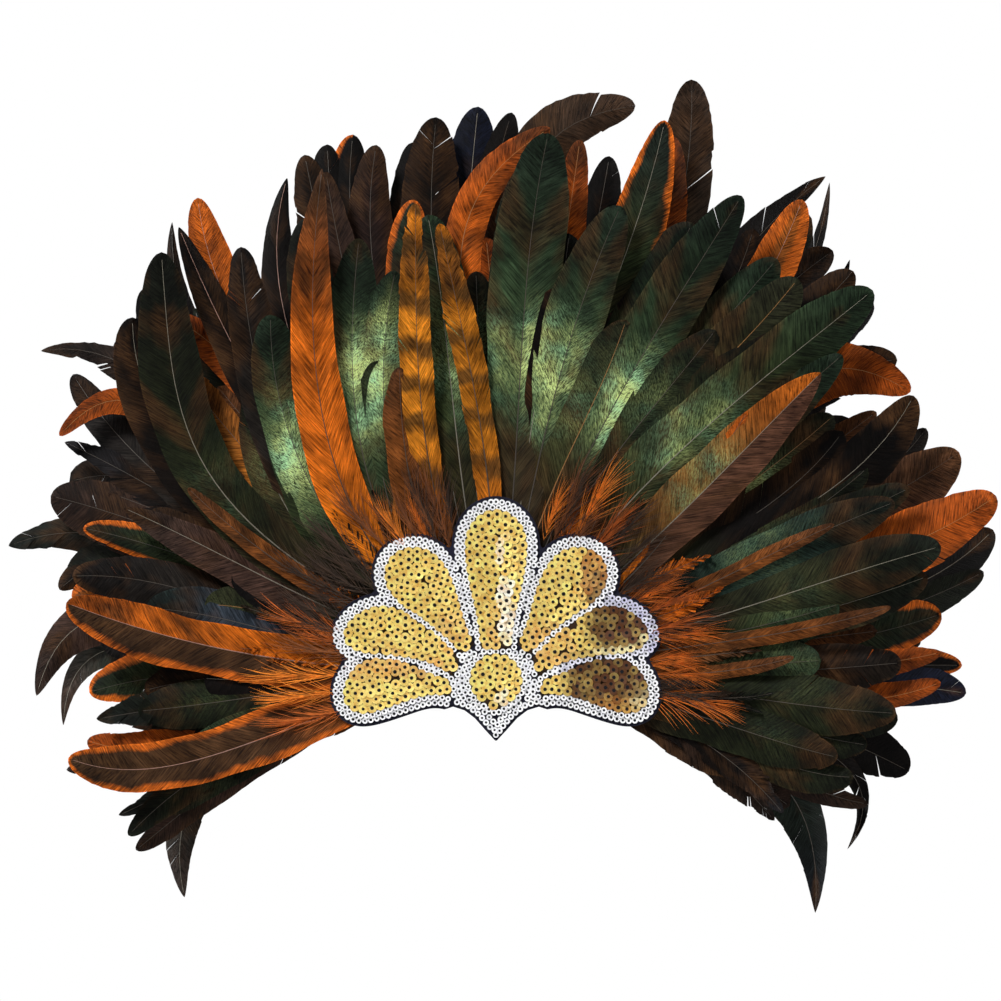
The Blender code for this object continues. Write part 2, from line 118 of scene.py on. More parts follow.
@dataclass(frozen=True)
class VaneLook:
    """How one side of a feather is dyed.

    Attributes:
        root: Colour where the vane starts.
        body: Colour over the middle.
        tip: Colour at the tip.
        rim: Colour of the outer edge.
        rim_start: Where the rim starts, as a share of the way out. Past 1 there is none.
        mint: Strength of the painted green sheen, a highlight laid into the vane's colour.
        bars: Strength of the dark bars.
        quill: Colour of the quill.
        splits: How many splits run in from the edge.
        fray: How uneven the edge is, as a share of the vane's width.
        point: How pointed the tip is: 0 for a round one and 1 for a sharp one.
    """

    root: Colour
    body: Colour
    tip: Colour
    rim: Colour = RUST
    rim_start: float = 2.0
    mint: float = 0.0
    bars: float = 0.0
    quill: Colour = DARK_QUILL
    splits: int = 1
    fray: float = 0.08
    point: float = 0.1


BLACK_BODY: Colour = (0.0056, 0.0034, 0.0024)
BLACK_TIP: Colour = (0.0032, 0.0022, 0.0018)
GREEN_BODY: Colour = (0.0225, 0.0320, 0.0115)
DEEP_BODY: Colour = (0.0115, 0.0140, 0.0058)
BROWN_ROOT: Colour = (0.055, 0.030, 0.016)


class Look(Enum):
    """The feather colourings that the fan is laid from."""

    BLACK = VaneLook(BROWN_ROOT, BLACK_BODY, BLACK_TIP, splits=4, fray=0.15)
    BLACK_POINTED = VaneLook(BROWN_ROOT, BLACK_BODY, BLACK_TIP, splits=5, fray=0.20, point=0.9)
    BLACK_PALE = VaneLook((0.035, 0.045, 0.020), BLACK_BODY, BLACK_TIP, quill=PALE_QUILL)
    BLACK_PINK = VaneLook(BROWN_ROOT, BLACK_BODY, BLACK_TIP, quill=PINK_QUILL, point=0.7)
    # Blue-black, whose blue stands for a painted sheen.
    BLACK_BLUE = VaneLook(DEEP_BODY, (0.008, 0.012, 0.020), (0.007, 0.009, 0.020), quill=PALE_QUILL)
    BLACK_RUST = VaneLook(BROWN_ROOT, BLACK_BODY, BLACK_TIP, rim_start=0.72)
    RAGGED_BLACK = VaneLook(
        BROWN_ROOT, BLACK_BODY, (0.012, 0.011, 0.012), splits=11, fray=0.34, point=0.7,
    )
    GREY_BROWN = VaneLook(
        DEEP_BODY, (0.016, 0.022, 0.016), (0.050, 0.036, 0.030),
        quill=PALE_QUILL, splits=4, fray=0.12, point=0.8,
    )
    RAGGED_BROWN = VaneLook(
        BROWN_ROOT, (0.034, 0.019, 0.012), (0.016, 0.011, 0.009), splits=11, fray=0.34, point=0.7,
    )
    CHOCOLATE = VaneLook(BROWN_ROOT, (0.022, 0.012, 0.008), (0.010, 0.007, 0.005), splits=5, fray=0.16)
    BROWN = VaneLook(
        (0.046, 0.022, 0.011), (0.042, 0.020, 0.013), (0.030, 0.016, 0.011), splits=5, fray=0.14,
    )
    BROWN_PALE = VaneLook(
        (0.040, 0.026, 0.014), (0.055, 0.028, 0.020), (0.040, 0.024, 0.018),
        quill=PALE_QUILL, splits=3, point=0.6,
    )
    BROWN_RUST = VaneLook(
        (0.260, 0.070, 0.012), (0.075, 0.034, 0.014), (0.060, 0.030, 0.014),
        rim_start=0.78, quill=PINK_QUILL,
    )
    BRONZE = VaneLook(
        (0.026, 0.028, 0.014), (0.034, 0.022, 0.012), (0.046, 0.026, 0.016), splits=5, fray=0.16,
    )
    TAN = VaneLook((0.050, 0.030, 0.016), (0.120, 0.055, 0.028), (0.145, 0.060, 0.026))
    PLUM = VaneLook(
        (0.034, 0.020, 0.014), (0.032, 0.016, 0.012), (0.020, 0.010, 0.008), splits=4, fray=0.14,
    )
    SLATE = VaneLook(
        (0.034, 0.026, 0.018), (0.021, 0.017, 0.014), (0.010, 0.0085, 0.0080), splits=5, fray=0.14,
    )
    RUST = VaneLook(
        (0.32, 0.070, 0.009), (0.53, 0.106, 0.009), (0.38, 0.072, 0.008), quill=AMBER_QUILL, fray=0.12,
    )
    RUST_PINK = VaneLook(
        (0.38, 0.08, 0.010), (0.58, 0.125, 0.010), (0.48, 0.100, 0.010), quill=PINK_QUILL,
    )
    RUST_BROWN = VaneLook(
        (0.34, 0.080, 0.012), (0.20, 0.060, 0.012), (0.10, 0.036, 0.012), splits=5, fray=0.14,
    )
    RUST_HEART = VaneLook(
        (0.090, 0.045, 0.014), (0.024, 0.024, 0.014), (0.26, 0.070, 0.010),
        rim_start=0.42, quill=PINK_QUILL,
    )
    RUST_TO_DARK = VaneLook(
        (0.46, 0.100, 0.010), (0.070, 0.032, 0.012), (0.010, 0.012, 0.010),
        rim_start=0.85, splits=4, point=0.7,
    )
    ORANGE = VaneLook(
        (0.85, 0.220, 0.012), (0.70, 0.150, 0.010), (0.40, 0.085, 0.009), splits=4, fray=0.12,
    )
    ORANGE_TALL = VaneLook(
        (0.85, 0.220, 0.012), (0.66, 0.140, 0.010), (0.080, 0.034, 0.014), splits=3, point=0.9,
    )
    AMBER = VaneLook((0.30, 0.11, 0.016), (0.34, 0.110, 0.014), (0.22, 0.070, 0.012), fray=0.14)
    AMBER_BARRED = VaneLook(
        (0.50, 0.130, 0.010), (0.56, 0.185, 0.012), (0.46, 0.140, 0.010), bars=1.0, splits=9, fray=0.34,
    )
    DEEP_GREEN = VaneLook(
        (0.040, 0.024, 0.011), DEEP_BODY, (0.0065, 0.0080, 0.0045), mint=0.10, splits=3, fray=0.12,
    )
    DEEP_POINTED = VaneLook(
        DEEP_BODY, (0.012, 0.018, 0.013), (0.006, 0.007, 0.009), splits=4, fray=0.10, point=1.0,
    )
    # A grey heart whose violet blue stands for a painted sheen.
    VIOLET_HEART = VaneLook((0.030, 0.028, 0.030), (0.040, 0.052, 0.070), (0.008, 0.014, 0.012))
    DEEP_PALE = VaneLook(
        (0.036, 0.028, 0.013), DEEP_BODY, (0.0060, 0.0070, 0.0045), mint=0.08, quill=PALE_QUILL,
    )
    RAGGED_GREEN = VaneLook(
        DEEP_BODY, DEEP_BODY, (0.012, 0.015, 0.012), splits=11, fray=0.32, point=0.7,
    )
    GREEN = VaneLook((0.045, 0.030, 0.014), GREEN_BODY, (0.012, 0.022, 0.012), mint=0.50)
    GREEN_PALE = VaneLook(
        (0.045, 0.034, 0.014), GREEN_BODY, (0.013, 0.024, 0.012), mint=0.55, quill=PALE_QUILL,
    )
    # Dark green whose blue stands for a painted sheen, with a painted green sheen as well.
    GREEN_BLUE = VaneLook(
        (0.030, 0.026, 0.018), (0.014, 0.030, 0.024), (0.009, 0.014, 0.010), mint=0.55,
    )
    GREEN_RUST = VaneLook(
        (0.120, 0.040, 0.012), GREEN_BODY, (0.012, 0.018, 0.010), rim_start=0.74, mint=0.25,
    )
    GREEN_RUST_PALE = VaneLook(
        (0.040, 0.032, 0.014), GREEN_BODY, (0.010, 0.014, 0.010),
        rim_start=0.84, mint=0.25, quill=PALE_QUILL,
    )
    GREEN_TO_ORANGE = VaneLook(
        (0.028, 0.050, 0.024), (0.20, 0.075, 0.016), (0.46, 0.110, 0.010),
        mint=0.7, quill=PALE_QUILL, point=0.5,
    )
    ROSE_BROWN = VaneLook(
        (0.060, 0.030, 0.016), (0.135, 0.058, 0.032), (0.110, 0.046, 0.026), quill=PALE_QUILL, point=0.5,
    )
    OLIVE = VaneLook(
        (0.060, 0.032, 0.014), (0.034, 0.034, 0.013), (0.017, 0.018, 0.009),
        mint=0.35, quill=AMBER_QUILL,
    )
    OLIVE_PALE = VaneLook(
        (0.060, 0.032, 0.014), (0.026, 0.028, 0.012), (0.012, 0.016, 0.010), mint=0.20, quill=PALE_QUILL,
    )
    DOWNY_RUST = VaneLook(
        (0.55, 0.125, 0.010), (0.66, 0.150, 0.011), (0.46, 0.100, 0.010),
        splits=56, fray=0.75, point=0.8,
    )
    DOWNY_BROWN = VaneLook(
        (0.20, 0.060, 0.012), (0.12, 0.045, 0.014), (0.07, 0.030, 0.014),
        splits=56, fray=0.70, point=0.8,
    )
    DOWNY_DARK = VaneLook(
        (0.060, 0.026, 0.012), (0.020, 0.016, 0.010), (0.010, 0.012, 0.010),
        splits=56, fray=0.65, point=0.8,
    )
    # Green with the strongest painted sheen.
    MINT = VaneLook((0.040, 0.028, 0.014), (0.022, 0.040, 0.018), (0.010, 0.017, 0.010), mint=1.25)


class Feather(NamedTuple):
    """One feather of the fan.

    Its quill's angle at the root, its tip's place across and up, the way its tip points, its
    greatest width, and the looks of its left and right sides as the tip points up.
    """

    root: float
    tip_across: float
    tip_up: float
    aim: float
    width: float
    look: Look
    right_look: Look | None = None

    @property
    def hooked(self) -> bool:
        """Whether it turns sharply from root to tip."""
        return abs(self.aim - self.root) > HOOKED_TURN


class Bunch(NamedTuple):
    """A bunch: its node, its row from 0 at the back to 5 at the front, its slot and feathers."""

    node: str
    row: int
    slot: str
    feathers: tuple[Feather, ...]


BUNCHES: tuple[Bunch, ...] = (
    Bunch("black_feathers_left", 0, "black_feather", (
        Feather(-102, -156, -113, -186, 19, Look.GREY_BROWN),
        Feather(-87, -217, -27, -176, 18, Look.GREY_BROWN),
        Feather(-76, -219, 41, -135, 20, Look.BLACK),
        Feather(-71, -245, 63, -108, 28, Look.RAGGED_GREEN),
        Feather(-64, -229, 161, -98, 24, Look.RAGGED_BROWN),
        Feather(-57, -189, 172, -25, 24, Look.BLACK_POINTED),
        Feather(-48, -163, 226, -3, 15, Look.BLACK_POINTED),
    )),
    Bunch("black_feathers_crown", 0, "black_feather", (
        Feather(-37, -105, 248, 12, 25, Look.BLACK_PINK),
        Feather(-29, -85, 265, 0, 24, Look.BLACK),
        Feather(-22, -72, 270, 10, 24, Look.BLACK_RUST, Look.BLACK),
        Feather(-15, -42, 266, 2, 26, Look.BLACK),
        Feather(-8, -9, 284, 13, 31, Look.BLACK_BLUE),
        Feather(3, 8, 281, 20, 24, Look.BLACK),
        Feather(12, 57, 259, 8, 26, Look.BLACK),
    )),
    Bunch("black_feathers_right", 0, "black_feather", (
        Feather(33, 166, 249, 48, 24, Look.BLACK_POINTED),
        Feather(39, 168, 246, 12, 11, Look.BLACK_POINTED),
        Feather(43, 178, 207, 18, 19, Look.BLACK_POINTED),
        Feather(48, 190, 185, 58, 28, Look.BLACK),
        Feather(61, 216, 122, 42, 19, Look.CHOCOLATE),
        Feather(78, 250, 71, 36, 27, Look.BLACK_PALE),
        Feather(84, 245, 50, 62, 20, Look.DEEP_GREEN),
        Feather(90, 234, 3, 85, 18, Look.BLACK_RUST),
        Feather(93, 236, -11, 96, 24, Look.BLACK_BLUE),
        Feather(96, 207, -50, 118, 28, Look.BLACK),
        Feather(99, 176, -89, 215, 12, Look.BLACK_POINTED),
        Feather(103, 160, -121, 190, 26, Look.DEEP_POINTED),
    )),
    Bunch("bronze_feathers_left", 1, "bronze_feather", (
        Feather(-102.5, -180, -89, -135, 15, Look.BROWN),
        Feather(-97, -215, -49, -95, 24, Look.RAGGED_BLACK),
        Feather(-81, -230, -12, -160, 25, Look.BROWN_PALE),
        Feather(-73, -208, 73, -84, 24, Look.SLATE),
        Feather(-68, -223, 88, -82, 32, Look.BROWN),
        Feather(-65.5, -216, 115, -62, 30, Look.RAGGED_BLACK),
        Feather(-63, -212, 149, -35, 20, Look.SLATE),
        Feather(-59, -190, 166, -8, 15, Look.BROWN),
        Feather(-52, -176, 192, -12, 22, Look.BLACK),
    )),
    Bunch("bronze_feathers_crown", 1, "bronze_feather", (
        Feather(-32, -96, 259, -8, 24, Look.BLACK),
        Feather(-19, -60, 264, 6, 24, Look.PLUM),
        Feather(-11, -30, 278, 10, 30, Look.BLACK),
        Feather(8, 70, 284, 84, 28, Look.BRONZE),
    )),
    Bunch("bronze_feathers_right", 1, "bronze_feather", (
        Feather(23, 98, 297, -3, 28, Look.BRONZE),
        Feather(29, 129, 222, 22, 24, Look.BLACK),
        Feather(36, 169, 211, 50, 26, Look.BLACK),
        Feather(42, 174, 188, 45, 24, Look.BLACK),
        Feather(53, 201, 156, 92, 24, Look.BLACK),
        Feather(66, 232, 110, 60, 34, Look.TAN),
        Feather(86, 223, 29, 66, 28, Look.GREEN_RUST),
        Feather(94, 201, -24, 92, 26, Look.DEEP_GREEN),
        Feather(99.5, 186, -66, 94, 14, Look.BROWN),
        Feather(103, 139, -74, 145, 18, Look.RAGGED_BROWN),
    )),
    Bunch("orange_feathers_left", 2, "orange_feather", (
        Feather(-102, -142, -50, -118, 18, Look.RUST_BROWN),
        Feather(-98, -204, -34, -78, 20, Look.RUST),
        Feather(-91, -203, -10, -100, 24, Look.GREEN_RUST),
        Feather(-77, -212, 38, -100, 28, Look.ORANGE, Look.RUST_HEART),
        Feather(-71, -206, 72, -78, 17, Look.GREEN_RUST),
        Feather(-62, -218, 118, -140, 13, Look.RUST),
        Feather(-51, -155, 148, -35, 26, Look.AMBER),
        Feather(-43, -162, 178, -62, 20, Look.RUST),
        Feather(-36, -149, 237, -13, 22, Look.RUST_PINK),
    )),
    Bunch("orange_feathers_crown", 2, "orange_feather", (
        Feather(-25, -85, 250, -12, 18, Look.BROWN),
        Feather(-17, -41, 236, 18, 22, Look.GREEN_RUST),
        Feather(-3, 27, 272, 62, 18, Look.RUST),
        Feather(0, -5, 217, 0, 20, Look.RUST),
        Feather(10, 42, 266, 3, 19, Look.RUST),
        Feather(18, 88, 268, 4, 23, Look.RUST),
    )),
    Bunch("orange_feathers_right", 2, "orange_feather", (
        Feather(35, 153, 236, 22, 24, Look.RUST_HEART),
        Feather(50, 207, 140, 126, 30, Look.RUST),
        Feather(58, 190, 130, 58, 18, Look.RUST_BROWN),
        Feather(72, 250, 88, 58, 31, Look.RUST),
        Feather(87, 222, 10, 82, 16, Look.RUST),
        Feather(92.5, 222, -5, 75, 15, Look.RUST),
        Feather(97, 168, -32, 100, 18, Look.RUST_TO_DARK),
        Feather(102, 124, -48, 118, 16, Look.CHOCOLATE),
    )),
    Bunch("dark_green_feathers_left", 3, "dark_green_feather", (
        Feather(-102.5, -183, -81, -130, 17, Look.DEEP_GREEN),
        Feather(-100, -188, -71, -118, 21, Look.RAGGED_GREEN),
        Feather(-93, -199, -23, -100, 27, Look.RAGGED_GREEN),
        Feather(-80, -211, 48, -96, 24, Look.SLATE),
        Feather(-65, -181, 177, -5, 24, Look.BLACK_PALE),
        Feather(-57, -127, 212, 3, 23, Look.SLATE),
        Feather(-46, -158, 222, -20, 19, Look.BLACK_PINK),
    )),
    Bunch("dark_green_feathers_crown", 3, "dark_green_feather", (
        Feather(-30, -95, 226, -5, 25, Look.DEEP_GREEN),
        Feather(-11, -34, 228, -10, 26, Look.GREEN_PALE),
        Feather(-4, -10, 200, -3, 22, Look.DEEP_GREEN),
        Feather(3, 14, 252, 5, 25, Look.DEEP_GREEN),
        Feather(12, 84, 275, 12, 27, Look.GREEN_RUST_PALE),
        Feather(17, 98, 224, 36, 28, Look.MINT),
    )),
    Bunch("dark_green_feathers_right", 3, "dark_green_feather", (
        Feather(31, 140, 206, 35, 28, Look.GREEN),
        Feather(42, 178, 200, 42, 28, Look.BLACK),
        Feather(52, 168, 128, 50, 24, Look.OLIVE),
        Feather(60, 208, 138, 28, 26, Look.BLACK_PALE),
        Feather(70, 206, 92, 64, 24, Look.DEEP_GREEN),
        Feather(81, 215, 48, 72, 24, Look.OLIVE_PALE),
        Feather(91, 202, 5, 88, 26, Look.CHOCOLATE),
        Feather(95.5, 185, -36, 105, 22, Look.DEEP_GREEN),
        Feather(99.5, 178, -52, 98, 20, Look.DEEP_GREEN),
        Feather(103, 143, -70, 134, 18, Look.RAGGED_BLACK),
    )),
    Bunch("green_feathers_left", 4, "green_feather", (
        Feather(-100, -152, -37, -102, 18, Look.GREEN),
        Feather(-94, -178, -19, -96, 24, Look.DEEP_GREEN),
        Feather(-83, -174, 32, -92, 27, Look.VIOLET_HEART),
        Feather(-70, -185, 82, -62, 19, Look.BROWN_PALE),
        Feather(-63, -166, 209, 0, 28, Look.DEEP_PALE),
        Feather(-53, -112, 178, 3, 25, Look.MINT),
        Feather(-41, -68, 216, 5, 26, Look.MINT),
        Feather(-33, -50, 200, 8, 24, Look.MINT),
    )),
    Bunch("green_feathers_crown", 4, "green_feather", (
        Feather(6, 26, 268, 12, 34, Look.MINT),
        Feather(11, 62, 232, 20, 27, Look.MINT),
        Feather(21, 122, 237, 28, 28, Look.MINT),
        Feather(27, 150, 196, 42, 30, Look.OLIVE),
        Feather(36, 187, 190, 51, 30, Look.GREEN_PALE),
        Feather(47, 172, 158, 46, 22, Look.GREEN),
    )),
    Bunch("green_feathers_right", 4, "green_feather", (
        Feather(68, 198, 85, 66, 24, Look.GREEN_BLUE),
        Feather(77, 221, 63, 68, 27, Look.OLIVE_PALE),
        Feather(94, 199, -20, 92, 28, Look.DEEP_GREEN),
        Feather(99.5, 170, -42, 102, 24, Look.DEEP_GREEN),
    )),
    Bunch("bright_feathers_left", 5, "bright_feather", (
        Feather(-102, -212, -42, -62, 24, Look.BROWN_RUST),
        Feather(-88, -213, 35, -70, 25, Look.BROWN_RUST, Look.ORANGE),
        Feather(-66, -153, 92, -52, 9, Look.RUST_BROWN),
    )),
    Bunch("bright_feathers_crown", 5, "bright_feather", (
        Feather(-48, -86, 250, 8, 22, Look.ORANGE_TALL),
        Feather(-29, -48, 152, -2, 18, Look.RUST_BROWN),
        Feather(-21, -40, 233, 0, 15, Look.AMBER_BARRED),
        Feather(-1, -28, 223, -14, 15, Look.AMBER_BARRED),
    )),
    Bunch("bright_feathers_right", 5, "bright_feather", (
        Feather(51, 161, 149, 42, 26, Look.GREEN_TO_ORANGE, Look.ROSE_BROWN),
        Feather(57, 125, 130, 36, 8, Look.ORANGE),
        Feather(69, 168, 74, 60, 8, Look.RUST_BROWN),
        Feather(82, 196, 33, 66, 8, Look.RUST_BROWN),
        Feather(91, 148, 8, 80, 7, Look.RUST_BROWN),
    )),
)

# What the hidden feathers between the charted ones of each row look like.
FILLER_LOOKS: tuple[tuple[Look, ...], ...] = (
    (Look.BLACK, Look.BLACK, Look.DEEP_GREEN, Look.CHOCOLATE),
    (Look.BROWN, Look.BLACK, Look.CHOCOLATE, Look.SLATE),
    (Look.RUST, Look.RUST_BROWN, Look.BLACK, Look.CHOCOLATE),
    (Look.DEEP_GREEN, Look.BLACK, Look.OLIVE_PALE, Look.CHOCOLATE),
    (Look.DEEP_GREEN, Look.GREEN, Look.BLACK_PALE, Look.OLIVE),
    (Look.DOWNY_RUST, Look.DOWNY_BROWN, Look.DOWNY_DARK, Look.DOWNY_RUST, Look.DOWNY_DARK),
)


class DownRange(NamedTuple):
    """A stretch of the front row with loose down: its bunch, its angles, its degrees between tufts."""

    node: str
    first: float
    last: float
    pace: float


DOWN_RANGES: tuple[DownRange, ...] = (
    DownRange("bright_feathers_left", -103.0, -84.0, 7.0),
    DownRange("bright_feathers_left", -84.0, -49.0, 3.6),
    DownRange("bright_feathers_crown", -40.0, -13.0, 3.0),
    DownRange("bright_feathers_crown", 20.0, 40.0, 3.2),
    DownRange("bright_feathers_right", 42.0, 64.0, 7.0),
    DownRange("bright_feathers_right", 64.0, 97.0, 3.2),
    DownRange("bright_feathers_right", 97.0, 104.0, 7.0),
)


def direction(angle: float) -> np.ndarray:
    """The unit vector, across and up, at an angle.

    Args:
        angle: Degrees clockwise from straight up.

    Returns:
        Its two numbers.
    """
    turned = math.radians(angle)
    return np.array((math.sin(turned), math.cos(turned)))


def smooth(value: Any, low: float, high: float) -> Any:
    """A soft step from 0 to 1.

    Args:
        value: A number or an array.
        low: Where the step starts.
        high: Where it ends.

    Returns:
        The step's height there.
    """
    share = np.clip((value - low) / (high - low), 0.0, 1.0)
    return share * share * (3.0 - 2.0 * share)


def placed(name: str, mesh: bpy.types.Mesh) -> bpy.types.Object:
    """Puts a mesh into the scene.

    Args:
        name: The object's name.
        mesh: Its mesh.

    Returns:
        The object, at the origin.
    """
    made = bpy.data.objects.new(name, mesh)
    bpy.context.scene.collection.objects.link(made)
    return made


def mark(mesh: bpy.types.Mesh, name: str, kind: str, rows: Any) -> None:
    """Gives each point of a mesh a value.

    Args:
        mesh: The mesh.
        name: The value's name.
        kind: FLOAT, FLOAT_VECTOR or FLOAT_COLOR.
        rows: One row for each point. A colour's row gets its fourth number here.
    """
    filled = np.asarray(rows, np.float32)
    if kind == "FLOAT_COLOR":
        filled = np.column_stack([filled, np.ones(len(filled), np.float32)])
    part = {"FLOAT": "value", "FLOAT_VECTOR": "vector", "FLOAT_COLOR": "color"}[kind]
    mesh.attributes.new(name, kind, "POINT").data.foreach_set(part, filled.ravel())


def tube_faces(rings: int, corners: int, closed: bool = False) -> list[tuple[int, ...]]:
    """The faces of a tube.

    Args:
        rings: How many rings of points it runs through.
        corners: How many points each ring has.
        closed: Whether it joins into a loop. Otherwise its ends are capped.

    Returns:
        The faces, as indices into the points of all rings in order.
    """
    faces: list[tuple[int, ...]] = []
    for ring in range(rings if closed else rings - 1):
        near, far = ring * corners, (ring + 1) % rings * corners
        for here in range(corners):
            beside = (here + 1) % corners
            faces.append((near + here, near + beside, far + beside, far + here))
    if not closed:
        faces.append(tuple(range(corners))[::-1])
        faces.append(tuple(range((rings - 1) * corners, rings * corners)))
    return faces


class Graph:
    """A node tree that is filled by naming each node and what feeds it."""

    def __init__(self, tree: bpy.types.NodeTree) -> None:
        """Takes the tree to fill.

        Args:
            tree: A shader or geometry tree.
        """
        self.tree = tree

    def add(self, kind: str, feeds: dict[str | int, Any] | None = None, **settings: Any) -> bpy.types.Node:
        """Adds a node.

        Args:
            kind: The node's type name.
            feeds: For each input, by name or index, a socket to link or a value to set.
            **settings: The node's own properties.

        Returns:
            The new node.
        """
        node = self.tree.nodes.new(kind)
        for name, value in settings.items():
            setattr(node, name, value)
        for key, feed in (feeds or {}).items():
            if isinstance(feed, bpy.types.NodeSocket):
                self.tree.links.new(feed, node.inputs[key])
            else:
                node.inputs[key].default_value = feed
        return node

    def math(self, operation: str, *values: Any) -> bpy.types.NodeSocket:
        """The result of a Math node on sockets or numbers."""
        return self.add("ShaderNodeMath", dict(enumerate(values)), operation=operation).outputs[0]

    def product(self, first: Any, *others: Any) -> Any:
        """The product of sockets or numbers.

        Args:
            first: The first of them.
            *others: What it is multiplied by, one after another.

        Returns:
            The last product's socket.
        """
        for other in others:
            first = self.math("MULTIPLY", first, other)
        return first

    def mapped(self, value: Any, span: Span) -> bpy.types.NodeSocket:
        """A value moved from one range to another, and held inside it."""
        names = ("Value", "From Min", "From Max", "To Min", "To Max")
        return self.add("ShaderNodeMapRange", dict(zip(names, (value, *span)))).outputs[0]


class Shader(Graph):
    """A material's tree, with the few parts that the finishes share."""

    def __init__(self, name: str) -> None:
        """Makes a material with an empty tree.

        Args:
            name: The material's name.
        """
        self.material = bpy.data.materials.new(name)
        self.material.use_nodes = True
        super().__init__(self.material.node_tree)
        self.tree.nodes.clear()

    def object_place(self) -> bpy.types.NodeSocket:
        """The place on the piece, in metres."""
        return self.add("ShaderNodeTexCoord").outputs["Object"]

    def noise(self, place: Any, grain: Grain) -> bpy.types.NodeSocket:
        """A soft noise between 0 and 1."""
        names = ("Vector", "Scale", "Detail", "Roughness")
        return self.add("ShaderNodeTexNoise", dict(zip(names, (place, *grain)))).outputs[0]

    def attribute(self, name: str) -> bpy.types.Node:
        """A value that the mesh carries."""
        return self.add("ShaderNodeAttribute", attribute_name=name)

    def mixed(self, share: Any, first: Any, second: Any, blend: str = "MIX") -> bpy.types.NodeSocket:
        """Two colours mixed.

        Args:
            share: How much of the second there is.
            first: The first colour, as a socket or numbers.
            second: The second colour, likewise.
            blend: How the second is laid on.

        Returns:
            The mix.
        """
        node = self.add("ShaderNodeMix", data_type="RGBA", blend_type=blend)
        for index, feed in ((0, share), (6, first), (7, second)):
            if isinstance(feed, bpy.types.NodeSocket):
                self.tree.links.new(feed, node.inputs[index])
            elif index:
                node.inputs[index].default_value = (*feed, 1.0)
            else:
                node.inputs[index].default_value = feed
        return node.outputs[2]

    def shaded(self, colour: Any, share: Any) -> bpy.types.NodeSocket:
        """A colour made darker or lighter by a number."""
        return self.add("ShaderNodeVectorMath", {0: colour, "Scale": share}, operation="SCALE").outputs[0]

    def bump(self, height: Any, strength: float, distance: float) -> bpy.types.NodeSocket:
        """A normal from a height."""
        feeds = {"Height": height, "Strength": strength, "Distance": distance}
        return self.add("ShaderNodeBump", feeds).outputs[0]

    def finish(self, feeds: dict[str, Any]) -> bpy.types.Material:
        """Ends the tree in a Principled shader.

        Args:
            feeds: What goes into the shader's sockets.

        Returns:
            The material.
        """
        shader = self.add("ShaderNodeBsdfPrincipled", feeds)
        self.add("ShaderNodeOutputMaterial", {"Surface": shader.outputs[0]})
        return self.material


